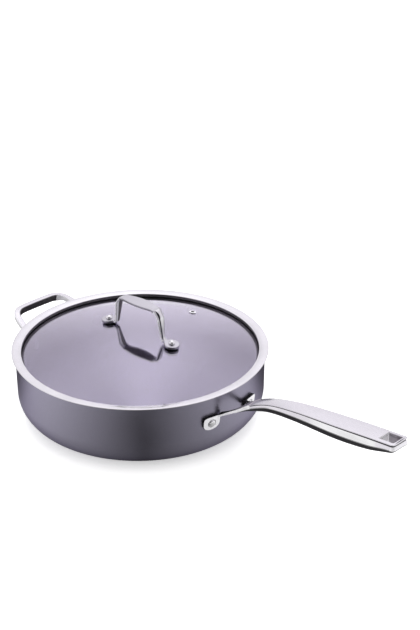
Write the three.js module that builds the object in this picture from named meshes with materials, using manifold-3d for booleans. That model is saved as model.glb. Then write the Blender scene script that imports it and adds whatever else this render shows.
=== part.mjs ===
// Deep frying pan of hard-anodised aluminium, with a fork-ended steel handle, a steel loop handle opposite,
// and a domed glass lid with a steel rim, a strap handle and a steam vent.
// Millimetres. +Z is up and +X runs along the long handle. The origin is the middle of the underside.

import * as THREE from "three";
import { mergeVertices } from "three/addons/utils/BufferGeometryUtils.js";
import Module from "manifold-3d";

const wasm = await Module();
wasm.setup();

// Play between pieces that touch, and round each shank in its bore
const GAP = 0.3;
const BORE_PLAY = 0.3;

// Pan
const PAN_INSIDE_DIAMETER = 280;
const PAN_HEIGHT = 79.2;
const PAN_WALL = 2.5;
const PAN_FLOOR = 4.5;
const PAN_CORNER = 33;
const PAN_FLARE = 0.7;
const LIP_BEVEL = 0.6;
const DISC_DIAMETER = 180;
const DISC_THICKNESS = 0.8;

// Shield-shaped plates of both pan handles, and the rivets through them
const PLATE_WIDTH = 21;
const PLATE_HEIGHT = 17;
const PLATE_CORNER = 4;
const PLATE_TOP_THICKNESS = 4;
const PLATE_FOOT_THICKNESS = 1.6;
const PLATE_ABOVE_RIVET = 8.7;
const RIVET_BELOW_LIP = 30.4;
const RIVET_SHANK = 6;
const RIVET_HEAD = 8.5;
const RIVET_HEAD_RISE = 2.2;
const RIVET_SEAT = 10.2;
const RIVET_SEAT_FLOOR = 1.9;
const RIVET_TAIL = 12;
const RIVET_TAIL_RISE = 1.8;
const RIVET_TAIL_GAP = 0.6;

// Long handle: distances out from the wall, heights over the rivets
const FORK_RIVET_SPACING = 60;
const FORK_WIDTH = 52;
const FORK_GAP_WIDTH = 32;
const FORK_GAP_DEPTH = 17;
const FORK_THICKNESS = 3.3;
const NECK_OUT = 34.5;
const HANDLE_REACH = 231.5;
const HANDLE_RISE = 60.5;
const HANDLE_WIDTH = 27;
const HANDLE_SIDE = 10.2;
const HANDLE_DEPTH = 16.2;
// Shares of the length from the neck to the tail, and of the four sizes above
const GRIP_STATIONS = [
  { along: -0.175, rise: 0.138, width: 0.889, side: 0.235, depth: 0.246 },
  { along: -0.074, rise: 0.299, width: 0.837, side: 0.255, depth: 0.254 },
  { along: 0, rise: 0.467, width: 0.785, side: 0.372, depth: 0.478 },
  { along: 0.128, rise: 0.646, width: 0.733, side: 0.51, depth: 0.612 },
  { along: 0.317, rise: 0.774, width: 0.852, side: 0.696, depth: 0.776 },
  { along: 0.624, rise: 0.886, width: 1, side: 1, depth: 1 },
  { along: 0.829, rise: 0.953, width: 1, side: 1, depth: 0.94 },
  { along: 0.941, rise: 0.985, width: 1, side: 0.735, depth: 0.701 },
  { along: 1, rise: 1, width: 1, side: 0.686, depth: 0.56 },
];
const BELLY_SHARE = 0.94;
const UNDERSIDE_SHARE = 0.6;
const UNDERSIDE_DROP = 1.2;
const TAIL_CORNER = 5;
const SHELL_WALL = 2.2;
const COVER_EDGE = 1.2;
const COVER_THICKNESS = 2.4;
const COVER_CROWN = 0.5;
const SEAM_INSET = 1.2;
const HANG_HOLE_LENGTH = 18.4;
const HANG_HOLE_WIDTH = 16.4;
const HANG_HOLE_CORNER = 3;
const HANG_HOLE_TO_TAIL = 4.6;
const HOLLOW_TO_HOLE = 6;
const HOLLOW_TO_NECK = 8;

// Loop handle
const LOOP_RIVET_SPACING = 97;
const LOOP_REACH = 43.5;
const LOOP_RISE = 22;
const LOOP_BAR_LENGTH = 71;
const LOOP_BAR_BOW = 1;
const LOOP_BEND = 15;
const LOOP_ROD_WIDTH = 7.5;
const LOOP_ROD_HEIGHT = 6.6;
const LOOP_ROD_BEVEL = 1.6;
const LOOP_TURN = -1.7;

// Lid glass and the steel rim that grips it
const GLASS_THICKNESS = 4;
const GLASS_RISE = 25;
const GLASS_BELOW_LIP = 3.8;
const RIM_SHEET = 0.9;
const RIM_OVERHANG = 4.3;
const RIM_INSET = 4.3;
const RIM_CROWN = 0.4;
const RIM_DISH = 1;
const SKIRT_INSET = 1;
const SEAL_THICKNESS = 0.6;
const LID_TURN = 3;

// Lid handle and its two fixings
const LID_RIVET_SPACING = 97.6;
const LID_FOOT_DIAMETER = 17.6;
const LID_FOOT_THICKNESS = 2.6;
const LID_LEG_INSET = 10.6;
const LID_LEG_LEAN = 7;
const LID_LEG_TOP_WIDTH = 11;
const LID_LEG_FOOT_WIDTH = 6.4;
const LID_BAR_RISE = 38;
const LID_BAR_ARCH = 1.2;
const LID_BAR_END_WIDTH = 11.6;
const LID_BAR_MIDDLE_WIDTH = 17;
const LID_STRAP_THICKNESS = 3;
const LID_STRAP_BEVEL = 0.8;
const LID_KNEE_BEND = 4;
const LID_TOP_BEND = 10;
const LID_RIVET_SHANK = 4.2;
const LID_RIVET_HEAD = 7.2;
const LID_RIVET_HEAD_RISE = 3.6;
const LID_RIVET_TAIL = 7.4;
const LID_RIVET_TAIL_RISE = 1.5;
const LID_RIVET_SEAT = 10.2;
const FOOT_WASHER_DIAMETER = 14;
const FOOT_WASHER_THICKNESS = 1;
const BACKING_WASHER_DIAMETER = 15;
const BACKING_WASHER_THICKNESS = 1;
const BACKING_PLATE_DIAMETER = 13;
const BACKING_PLATE_THICKNESS = 1;

// Steam vent
const VENT_RADIUS = 91;
const VENT_FLANGE = 8.4;
const VENT_FLANGE_RISE = 0.8;
const VENT_TUBE = 6;
const VENT_BORE = 3.6;

// How far a cutter runs past what it cuts
const CUT_REACH = 20;

// Facets
const ROUND_STEPS = 56;
const SMALL_STEPS = 16;
const CORNER_STEPS = 6;
const ARC_STEPS = 4;
const GRIP_STEPS = 16;
const HOLLOW_STEPS = 8;
const FORK_STEPS = 10;
const LEG_STEPS = 2;
const BEND_STEPS = 7;
const DOME_STEPS = 6;
const STRAP_STEPS = 6;

// Places worked out from the sizes above
const lipRadius = PAN_INSIDE_DIAMETER / 2 + PAN_WALL;
const shoulderRadius = lipRadius - PAN_FLARE;
const cornerCentre = shoulderRadius - PAN_CORNER;
const rivetHeight = PAN_HEIGHT - RIVET_BELOW_LIP;
const plateTop = rivetHeight + PLATE_ABOVE_RIVET;
const wallAtRivet = wallRadius(rivetHeight);
const forkAngle = Math.asin(FORK_RIVET_SPACING / 2 / wallAtRivet);
const loopAngle = Math.asin(LOOP_RIVET_SPACING / 2 / wallAtRivet);
const loopTurn = THREE.MathUtils.degToRad(LOOP_TURN);
const loopAngles = [Math.PI + loopTurn + loopAngle, Math.PI + loopTurn - loopAngle];
const tailX = wallAtRivet + HANDLE_REACH;
const neckX = wallAtRivet + NECK_OUT;
const seamDepth = COVER_THICKNESS + GAP;
const holeEndX = tailX - HANG_HOLE_TO_TAIL;
const holeStartX = holeEndX - HANG_HOLE_LENGTH;
const rimInnerRadius = PAN_INSIDE_DIAMETER / 2 - RIM_INSET;
const rimOuterRadius = lipRadius + RIM_OVERHANG;
const rimUnderside = PAN_HEIGHT + GAP;
const rimTop = rimUnderside + RIM_SHEET;
const skirtRadius = PAN_INSIDE_DIAMETER / 2 - SKIRT_INSET;
const channelRadius = skirtRadius - RIM_SHEET;
const glassRadius = channelRadius - 2 * GAP - SEAL_THICKNESS;
const glassEdgeHeight = PAN_HEIGHT - GLASS_BELOW_LIP;
const domeRadius = (glassRadius ** 2 + GLASS_RISE ** 2) / (2 * GLASS_RISE);
const domeCentre = glassEdgeHeight + GLASS_RISE - domeRadius;
const footBase = 2 * GAP + FOOT_WASHER_THICKNESS;
const footTop = footBase + LID_FOOT_THICKNESS;

// Outside radius of the pan's straight wall at a height.
function wallRadius(height) {
  const share = (height - PAN_CORNER) / (PAN_HEIGHT - PAN_CORNER);
  return shoulderRadius + PAN_FLARE * share;
}

// Height of the glass's outer face, and of its inner face, at a distance from the axis.
function glassOuter(radius) {
  return domeCentre + Math.sqrt(domeRadius ** 2 - radius ** 2);
}

function glassInner(radius) {
  return domeCentre + Math.sqrt((domeRadius - GLASS_THICKNESS) ** 2 - radius ** 2);
}

const at = (x, y) => new THREE.Vector2(x, y);

// Values at equal steps from one to another.
function evenly(from, to, steps) {
  return Array.from({ length: steps + 1 }, (_, i) => from + ((to - from) * i) / steps);
}

// Points of an arc, with angles in degrees.
function arc(centreX, centreY, radiusX, radiusY, from, to, steps) {
  const points = [];
  for (let i = 0; i <= steps; i++) {
    const angle = THREE.MathUtils.degToRad(from + ((to - from) * i) / steps);
    points.push(at(centreX + radiusX * Math.cos(angle), centreY + radiusY * Math.sin(angle)));
  }
  return points;
}

// A closed geometry as a solid that can be joined and cut, and a solid back as a geometry.
function solidOf(geometry) {
  const bare = geometry.clone();
  bare.deleteAttribute("normal");
  bare.deleteAttribute("uv");
  const merged = mergeVertices(bare, 1e-4);
  const mesh = new wasm.Mesh({
    numProp: 3,
    vertProperties: merged.attributes.position.array,
    triVerts: new Uint32Array(merged.index.array),
  });
  return new wasm.Manifold(mesh);
}

function geometryOf(solid) {
  const mesh = solid.getMesh();
  const geometry = new THREE.BufferGeometry();
  geometry.setAttribute("position", new THREE.BufferAttribute(mesh.vertProperties, 3));
  geometry.setIndex(new THREE.BufferAttribute(mesh.triVerts, 1));
  return geometry;
}

// A body turned about Z from a profile of radius and height, going up its outer side.
function turned(profile, steps) {
  return new THREE.LatheGeometry(profile, steps).rotateX(Math.PI / 2);
}

// A ring turned from a profile that closes on itself.
function turnedRing(profile, steps) {
  return turned([...profile, profile[0]], steps);
}

// A flat ring standing on a height.
function washer(outerDiameter, boreDiameter, bottom, thickness) {
  const outer = outerDiameter / 2;
  const bore = boreDiameter / 2;
  const top = bottom + thickness;
  return turnedRing([at(bore, bottom), at(outer, bottom), at(outer, top), at(bore, top)], SMALL_STEPS);
}

// A round bar along Z for cutting bores.
function bar(diameter, bottom, top) {
  const geometry = new THREE.CylinderGeometry(diameter / 2, diameter / 2, top - bottom, SMALL_STEPS);
  return geometry.rotateX(Math.PI / 2).translate(0, 0, (bottom + top) / 2);
}

// A skin over rings of equal point count, closed by flat ends whose outlines are given in two dimensions.
function lofted(rings, firstOutline, lastOutline) {
  const count = rings[0].length;
  const index = [];
  for (let i = 0; i + 1 < rings.length; i++) {
    for (let j = 0; j < count; j++) {
      const a = i * count + j;
      const b = i * count + ((j + 1) % count);
      index.push(a, b, b + count, a, b + count, a + count);
    }
  }
  const last = (rings.length - 1) * count;
  for (const [a, b, c] of THREE.ShapeUtils.triangulateShape(firstOutline, [])) index.push(c, b, a);
  for (const [a, b, c] of THREE.ShapeUtils.triangulateShape(lastOutline, [])) {
    index.push(last + a, last + b, last + c);
  }
  const geometry = new THREE.BufferGeometry().setFromPoints(rings.flat());
  geometry.setIndex(index);
  return geometry;
}

// A shape in the XY plane made into a block between two heights.
function upright(shape, bottom, top, curveSegments) {
  const options = { depth: top - bottom, bevelEnabled: false, curveSegments };
  return new THREE.ExtrudeGeometry(shape, options).translate(0, 0, bottom);
}

function finish(color, roughness, metalness) {
  return new THREE.MeshStandardMaterial({ color, roughness, metalness });
}

function piece(parent, name, geometry, material) {
  const mesh = new THREE.Mesh(geometry, material);
  mesh.name = name;
  parent.add(mesh);
  return mesh;
}

// Outline of a rectangle with its corners cut off.
function bevelled(halfWidth, halfHeight, bevel) {
  return [
    at(halfWidth, bevel - halfHeight),
    at(halfWidth, halfHeight - bevel),
    at(halfWidth - bevel, halfHeight),
    at(bevel - halfWidth, halfHeight),
    at(-halfWidth, halfHeight - bevel),
    at(-halfWidth, bevel - halfHeight),
    at(bevel - halfWidth, -halfHeight),
    at(halfWidth - bevel, -halfHeight),
  ];
}

// Outside of the pan, from the edge of its flat underside to the lip, moved out by a clearance.
function panOutside(clearance) {
  const radius = PAN_CORNER + clearance;
  return [
    ...arc(cornerCentre, PAN_CORNER, radius, radius, -90, 0, CORNER_STEPS),
    at(lipRadius + clearance, PAN_HEIGHT - LIP_BEVEL),
  ];
}

// The room that the pan's outside takes up with a clearance, for cutting what is riveted to it.
function panRoom(clearance) {
  const outside = panOutside(clearance);
  const profile = [at(0, -clearance), ...outside, at(lipRadius + clearance, PAN_HEIGHT), at(0, PAN_HEIGHT)];
  return solidOf(turned(profile, ROUND_STEPS));
}

// Turns what is built along Z at the origin to stand out of the wall at rivet height.
function ontoWall(angle) {
  const turn = new THREE.Matrix4().makeRotationZ(angle);
  const out = new THREE.Matrix4().makeTranslation(wallAtRivet, 0, rivetHeight);
  const lay = new THREE.Matrix4().makeRotationY(Math.PI / 2);
  return turn.multiply(out).multiply(lay);
}

// Matrix from the glass's outer face at a radius and angle: +Z stands out of the glass there.
function ontoGlass(radius, angle) {
  const tilt = Math.asin(radius / domeRadius);
  const turn = new THREE.Matrix4().makeRotationZ(angle);
  const centre = new THREE.Matrix4().makeTranslation(0, 0, domeCentre);
  const lean = new THREE.Matrix4().makeRotationY(tilt);
  const out = new THREE.Matrix4().makeTranslation(0, 0, domeRadius);
  return turn.multiply(centre).multiply(lean).multiply(out);
}

const placed = (geometry, matrix) => geometry.clone().applyMatrix4(matrix);

// Pan with bores for the four rivets of its handles.
function panBody(rivetAngles) {
  const recessRadius = DISC_DIAMETER / 2 + GAP;
  const recessTop = DISC_THICKNESS + GAP;
  const inside = PAN_INSIDE_DIAMETER / 2;
  const innerCorner = arc(
    cornerCentre, PAN_CORNER, PAN_CORNER - PAN_WALL, PAN_CORNER - PAN_FLOOR, 0, -90, CORNER_STEPS,
  );
  const profile = [
    at(0, recessTop),
    at(recessRadius, recessTop),
    at(recessRadius, 0),
    ...panOutside(0),
    at(lipRadius - LIP_BEVEL, PAN_HEIGHT),
    at(inside + LIP_BEVEL, PAN_HEIGHT),
    at(inside, PAN_HEIGHT - LIP_BEVEL),
    ...innerCorner,
    at(0, PAN_FLOOR),
  ];
  const bore = bar(RIVET_SHANK + 2 * BORE_PLAY, -PAN_WALL - CUT_REACH, CUT_REACH);
  let pan = solidOf(turned(profile, ROUND_STEPS));
  for (const angle of rivetAngles) pan = pan.subtract(solidOf(placed(bore, ontoWall(angle))));
  return geometryOf(pan);
}

// Steel disc let into the underside.
function baseDisc() {
  const radius = DISC_DIAMETER / 2;
  const profile = [at(0, 0), at(radius, 0), at(radius, DISC_THICKNESS), at(0, DISC_THICKNESS)];
  return turned(profile, ROUND_STEPS);
}

// A domed head, a shank and a flattened tail on one axis.
function rivet(head, headRise, headBase, shank, tail, tailRise, tailBase) {
  const brim = headRise / 4;
  const dome = arc(0, headBase + brim, head / 2, headRise - brim, 0, 90, ARC_STEPS);
  const profile = [
    at(0, tailBase - tailRise),
    at((tail - tailRise) / 2, tailBase - tailRise),
    at(tail / 2, tailBase - tailRise / 2),
    at(tail / 2, tailBase),
    at(shank / 2, tailBase),
    at(shank / 2, headBase),
    at(head / 2, headBase),
    ...dome.slice(0, -1),
    at(0, headBase + headRise),
  ];
  return turned(profile, SMALL_STEPS);
}

// Rivet from a plate's seat through the wall.
function wallRivet() {
  const headBase = GAP + RIVET_SEAT_FLOOR + GAP;
  const tailBase = -PAN_WALL - RIVET_TAIL_GAP;
  return rivet(RIVET_HEAD, RIVET_HEAD_RISE, headBase, RIVET_SHANK, RIVET_TAIL, RIVET_TAIL_RISE, tailBase);
}

// Shield-shaped plate standing on the wall, thick at its top edge and thin at its point.
// In the plate's own place X is down, Y is along the wall and Z is out of it.
function shieldPlate(angle) {
  const half = PLATE_WIDTH / 2;
  const top = -PLATE_ABOVE_RIVET;
  const foot = top + PLATE_HEIGHT;
  const shape = new THREE.Shape();
  shape.moveTo(top, PLATE_CORNER - half);
  shape.quadraticCurveTo(top, -half, top + PLATE_CORNER, -half);
  shape.bezierCurveTo(foot - PLATE_CORNER, -half, foot, -half / 2, foot, 0);
  shape.bezierCurveTo(foot, half / 2, foot - PLATE_CORNER, half, top + PLATE_CORNER, half);
  shape.quadraticCurveTo(top, half, top, half - PLATE_CORNER);
  const outline = shape.getPoints(ARC_STEPS);
  const slope = (PLATE_TOP_THICKNESS - PLATE_FOOT_THICKNESS) / PLATE_HEIGHT;
  const front = (down) => GAP + PLATE_TOP_THICKNESS - slope * (down - top);
  const rings = [
    outline.map((p) => new THREE.Vector3(p.x, p.y, -PAN_WALL)),
    outline.map((p) => new THREE.Vector3(p.x, p.y, front(p.x))),
  ];
  return placed(lofted(rings, outline, outline), ontoWall(angle));
}

// Two plates joined to what they hold up, cut to the wall and bored and seated for their rivets.
function riveted(holder, angles) {
  const seatFloor = GAP + RIVET_SEAT_FLOOR;
  const bore = bar(RIVET_SHANK + 2 * BORE_PLAY, -CUT_REACH, seatFloor + GAP);
  const seat = bar(RIVET_SEAT, seatFloor, seatFloor + CUT_REACH);
  let solid = holder;
  for (const angle of angles) solid = solid.add(solidOf(shieldPlate(angle)));
  solid = solid.subtract(panRoom(GAP));
  for (const angle of angles) {
    solid = solid.subtract(solidOf(placed(bore, ontoWall(angle))));
    solid = solid.subtract(solidOf(placed(seat, ontoWall(angle))));
  }
  return solid;
}

// A size of the long handle at a distance along X, smoothly between its stations.
const stationX = GRIP_STATIONS.map((s) => neckX + s.along * (tailX - neckX));

function gripSize(field, full) {
  const curve = new THREE.CubicInterpolant(stationX, GRIP_STATIONS.map((s) => s[field]), 1);
  return (x) => full * curve.evaluate(x)[0];
}

const gripRise = gripSize("rise", HANDLE_RISE);
const gripFullWidth = gripSize("width", HANDLE_WIDTH);
const gripSide = gripSize("side", HANDLE_SIDE);
const gripDepth = gripSize("depth", HANDLE_DEPTH);
const gripTop = (x) => rivetHeight + gripRise(x);

// Half width of the long handle, drawn in round the corners of its tail.
function gripHalfWidth(x) {
  const back = Math.max(0, TAIL_CORNER - (tailX - x));
  return gripFullWidth(x) / 2 - TAIL_CORNER + Math.sqrt(Math.max(0, TAIL_CORNER ** 2 - back ** 2));
}

// Places along the long handle, closer together round the tail.
function gripPlaces(from) {
  const round = tailX - TAIL_CORNER;
  const turns = arc(round, 0, TAIL_CORNER, TAIL_CORNER, 90, 0, ARC_STEPS).slice(1);
  return [...evenly(from, round, GRIP_STEPS), ...turns.map((p) => p.x)];
}

// A body along the long handle, from a section of width across and height under the top line.
function alongGrip(places, section) {
  const sections = places.map((x) => section(x));
  const rings = places.map((x, i) => sections[i].map((p) => new THREE.Vector3(x, p.x, gripTop(x) + p.y)));
  return solidOf(lofted(rings, sections[0], sections[sections.length - 1]));
}

// Full section of the long handle: straight sides, and an underside that draws in and hangs lower.
function gripSection(x) {
  const half = gripHalfWidth(x);
  const belly = half * BELLY_SHARE;
  const under = half * UNDERSIDE_SHARE;
  const side = gripSide(x);
  const depth = gripDepth(x);
  const lowest = depth + UNDERSIDE_DROP;
  return [
    at(half, 0), at(-half, 0), at(-half, -side), at(-belly, -depth),
    at(-under, -lowest), at(under, -lowest), at(belly, -depth), at(half, -side),
  ];
}

// Section of the trough inside the shell, a wall's thickness from the full section.
function hollowSection(x) {
  const half = gripHalfWidth(x) - SHELL_WALL;
  const under = half * UNDERSIDE_SHARE;
  const depth = gripDepth(x) - SHELL_WALL;
  const side = Math.min(gripSide(x), depth);
  const lowest = depth + UNDERSIDE_DROP;
  return [
    at(half, GAP), at(-half, GAP), at(-half, -side), at(-under, -lowest), at(under, -lowest), at(half, -side),
  ];
}

// Section of the room over the shell that the cover fills.
function seatSection(x) {
  const half = gripFullWidth(x);
  return [at(half, half), at(-half, half), at(-half, -seamDepth), at(half, -seamDepth)];
}

// Section of the cover: a crowned plate over a narrower step that rests on the shell.
function coverSection(x) {
  const half = gripHalfWidth(x);
  const step = half - SEAM_INSET;
  return [
    at(half, -COVER_EDGE), at(half, -COVER_CROWN), at(half / 2, 0), at(-half / 2, 0),
    at(-half, -COVER_CROWN), at(-half, -COVER_EDGE), at(-step, -COVER_EDGE),
    at(-step, -COVER_THICKNESS), at(step, -COVER_THICKNESS), at(step, -COVER_EDGE),
  ];
}

// Upright cutter for the hanging hole: a rectangle with round corners.
function hangHole() {
  const half = HANG_HOLE_WIDTH / 2;
  const corner = HANG_HOLE_CORNER;
  const shape = new THREE.Shape();
  shape.moveTo(holeStartX + corner, -half);
  shape.lineTo(holeEndX - corner, -half);
  shape.absarc(holeEndX - corner, corner - half, corner, -Math.PI / 2, 0);
  shape.absarc(holeEndX - corner, half - corner, corner, 0, Math.PI / 2);
  shape.absarc(holeStartX + corner, half - corner, corner, Math.PI / 2, Math.PI);
  shape.absarc(holeStartX + corner, corner - half, corner, Math.PI, 1.5 * Math.PI);
  return solidOf(upright(shape, gripTop(holeStartX) - CUT_REACH, gripTop(holeEndX) + CUT_REACH, ARC_STEPS));
}

// Fork: a sloping strap whose plan closes in from the plates to the neck round a rounded gap.
function fork() {
  const start = wallAtRivet - PLATE_WIDTH / 2;
  const half = FORK_WIDTH / 2;
  const neckHalf = gripHalfWidth(neckX);
  const plan = new THREE.Shape();
  plan.moveTo(start, -half);
  plan.lineTo(wallAtRivet, -half);
  plan.quadraticCurveTo((wallAtRivet + neckX) / 2, -neckHalf, neckX, -neckHalf);
  plan.lineTo(neckX, neckHalf);
  plan.quadraticCurveTo((wallAtRivet + neckX) / 2, neckHalf, wallAtRivet, half);
  plan.lineTo(start, half);
  const gap = new THREE.Shape();
  gap.absellipse(wallAtRivet, 0, FORK_GAP_DEPTH, FORK_GAP_WIDTH / 2, 0, 2 * Math.PI);
  const band = new THREE.Shape();
  const places = evenly(start, neckX, FORK_STEPS);
  const upper = places.map((x) => at(x, gripTop(x)));
  const lower = places.toReversed().map((x) => at(x, gripTop(x) - FORK_THICKNESS));
  band.setFromPoints([...upper, ...lower]);
  const sloping = new THREE.ExtrudeGeometry(band, { depth: 2 * FORK_WIDTH, bevelEnabled: false });
  sloping.rotateX(Math.PI / 2).translate(0, FORK_WIDTH, 0);
  const bottom = gripTop(start) - CUT_REACH;
  const top = gripTop(neckX) + CUT_REACH;
  const strap = solidOf(upright(plan, bottom, top, SMALL_STEPS)).intersect(solidOf(sloping));
  return strap.subtract(solidOf(upright(gap, bottom, top, SMALL_STEPS)));
}

// Lower pressing of the long handle: fork, plates and a trough that the cover closes.
function handleShell() {
  const gripStart = wallAtRivet + FORK_GAP_DEPTH + FORK_THICKNESS;
  const hollowStart = neckX + HOLLOW_TO_NECK;
  const hollowEnd = holeStartX - HOLLOW_TO_HOLE;
  const grip = alongGrip(gripPlaces(gripStart), gripSection);
  const seat = alongGrip([...gripPlaces(neckX), tailX + TAIL_CORNER], seatSection);
  const hollow = alongGrip(evenly(hollowStart, hollowEnd, HOLLOW_STEPS), hollowSection);
  const holder = fork().add(grip).subtract(seat).subtract(hollow).subtract(hangHole());
  return geometryOf(riveted(holder, [-forkAngle, forkAngle]));
}

// Upper pressing of the long handle, from the neck to the tail.
function handleCover() {
  return geometryOf(alongGrip(gripPlaces(neckX + GAP), coverSection).subtract(hangHole()));
}

// Loop handle: a rod out from one plate, along a bar clear of the wall, and back to the other plate.
function loopHandle() {
  const plateX = -wallAtRivet * Math.cos(loopAngle);
  const barX = -wallAtRivet - LOOP_REACH;
  const barZ = rivetHeight + LOOP_RISE;
  const half = LOOP_RIVET_SPACING / 2;
  const rootZ = plateTop - LOOP_ROD_HEIGHT / 2;
  const root = new THREE.Vector3(plateX, -half, rootZ);
  const corner = new THREE.Vector3(barX, -LOOP_BAR_LENGTH / 2, barZ);
  const legOut = corner.clone().sub(root).normalize();
  const bendIn = corner.clone().addScaledVector(legOut, -LOOP_BEND);
  const bendOut = corner.clone().add(new THREE.Vector3(-LOOP_BAR_BOW / 2, LOOP_BEND, 0));
  const crest = new THREE.Vector3(bendOut.x - LOOP_BAR_BOW, 0, barZ);
  const other = (p) => p.clone().multiply(new THREE.Vector3(1, -1, 1));
  const stretches = [
    [new THREE.LineCurve3(root, bendIn), LEG_STEPS],
    [new THREE.QuadraticBezierCurve3(bendIn, corner, bendOut), BEND_STEPS],
    [new THREE.QuadraticBezierCurve3(bendOut, crest, other(bendOut)), BEND_STEPS],
    [new THREE.QuadraticBezierCurve3(other(bendOut), other(corner), other(bendIn)), BEND_STEPS],
    [new THREE.LineCurve3(other(bendIn), other(root)), LEG_STEPS],
  ];
  const section = bevelled(LOOP_ROD_WIDTH / 2, LOOP_ROD_HEIGHT / 2, LOOP_ROD_BEVEL);
  const up = new THREE.Vector3(0, 0, 1);
  const rings = [];
  stretches.forEach(([curve, steps], i) => {
    for (const place of evenly(0, 1, steps).slice(i ? 1 : 0)) {
      const point = curve.getPoint(place);
      const along = curve.getTangent(place);
      const across = new THREE.Vector3().crossVectors(up, along).normalize();
      const above = new THREE.Vector3().crossVectors(along, across);
      rings.push(section.map((p) => point.clone().addScaledVector(across, p.x).addScaledVector(above, p.y)));
    }
  });
  const rod = solidOf(lofted(rings, section, section).rotateZ(loopTurn));
  return geometryOf(riveted(rod, loopAngles));
}

// Domed glass with holes for the two fixings of its handle and for the vent.
function lidGlass() {
  const radii = evenly(0, glassRadius, DOME_STEPS);
  const inner = radii.map((r) => at(r, glassInner(r)));
  const outer = radii.toReversed().map((r) => at(r, glassOuter(r)));
  const bore = (diameter) => bar(diameter + 2 * BORE_PLAY, -GLASS_THICKNESS - CUT_REACH, CUT_REACH);
  let glass = solidOf(turned([...inner, ...outer], ROUND_STEPS));
  for (const matrix of footPlaces) {
    glass = glass.subtract(solidOf(placed(bore(LID_RIVET_SHANK), matrix)));
  }
  return geometryOf(glass.subtract(solidOf(placed(bore(VENT_TUBE), ventPlace))));
}

// Steel band: a crowned flange that rises to its round edge, and a channel inside the pan for the glass.
function lidRim() {
  const lift = 2 * GAP + SEAL_THICKNESS;
  const channelTop = glassOuter(rimInnerRadius) + lift;
  const channelBottom = glassInner(channelRadius) - lift;
  const edge = RIM_SHEET / 2;
  return turnedRing(
    [
      at(rimInnerRadius, channelBottom - RIM_SHEET),
      at(skirtRadius, channelBottom - RIM_SHEET),
      at(skirtRadius, rimUnderside),
      ...arc(rimOuterRadius - edge, rimUnderside + RIM_DISH + edge, edge, edge, -90, 90, CORNER_STEPS),
      at((rimOuterRadius + rimInnerRadius) / 2, rimTop + RIM_DISH / 2 + RIM_CROWN),
      at(rimInnerRadius + RIM_CROWN, rimTop),
      at(rimInnerRadius, rimTop - RIM_CROWN),
      at(rimInnerRadius, channelTop),
      at(channelRadius, channelTop),
      at(channelRadius, channelBottom),
      at(rimInnerRadius, channelBottom),
    ],
    ROUND_STEPS,
  );
}

// Soft seal wrapped round the glass's edge inside the channel.
function rimSeal() {
  const inner = glassRadius + GAP;
  const outer = inner + SEAL_THICKNESS;
  const far = GAP + SEAL_THICKNESS;
  const lip = rimInnerRadius;
  return turnedRing(
    [
      at(lip, glassInner(lip) - far),
      at(outer, glassInner(outer) - far),
      at(outer, glassOuter(outer) + far),
      at(lip, glassOuter(lip) + far),
      at(lip, glassOuter(lip) + GAP),
      at(inner, glassOuter(inner) + GAP),
      at(inner, glassInner(inner) - GAP),
      at(lip, glassInner(lip) - GAP),
    ],
    ROUND_STEPS,
  );
}

// Middle line of the lid handle's strap in the XZ plane, from the rear foot over the bar to the front foot.
function strapLine() {
  const footRadius = LID_RIVET_SPACING / 2;
  const tilt = Math.asin(footRadius / domeRadius);
  const reach = domeRadius + footBase + LID_FOOT_THICKNESS / 2;
  const foot = at(reach * Math.sin(tilt), domeCentre + reach * Math.cos(tilt));
  const inward = at(-Math.cos(tilt), Math.sin(tilt));
  const knee = foot.clone().addScaledVector(inward, LID_LEG_INSET);
  const corner = at(knee.x - LID_LEG_LEAN, foot.y + LID_BAR_RISE - LID_STRAP_THICKNESS);
  const up = corner.clone().sub(knee).normalize();
  const line = new THREE.Path();
  const kneeIn = knee.clone().addScaledVector(inward, -LID_KNEE_BEND);
  const kneeOut = knee.clone().addScaledVector(up, LID_KNEE_BEND);
  const bendIn = corner.clone().addScaledVector(up, -LID_TOP_BEND);
  const bendOut = at(corner.x - LID_TOP_BEND, corner.y + LID_BAR_ARCH / 2);
  const crest = bendOut.y + LID_BAR_ARCH;
  line.moveTo(-foot.x, foot.y);
  line.lineTo(-kneeIn.x, kneeIn.y);
  line.quadraticCurveTo(-knee.x, knee.y, -kneeOut.x, kneeOut.y);
  line.lineTo(-bendIn.x, bendIn.y);
  line.quadraticCurveTo(-corner.x, corner.y, -bendOut.x, bendOut.y);
  line.quadraticCurveTo(0, crest, bendOut.x, bendOut.y);
  line.quadraticCurveTo(corner.x, corner.y, bendIn.x, bendIn.y);
  line.lineTo(kneeOut.x, kneeOut.y);
  line.quadraticCurveTo(knee.x, knee.y, kneeIn.x, kneeIn.y);
  line.lineTo(foot.x, foot.y);
  return { points: line.getPoints(STRAP_STEPS), barHalf: corner.x, barHeight: bendIn.y, legFoot: kneeOut.y };
}

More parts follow.
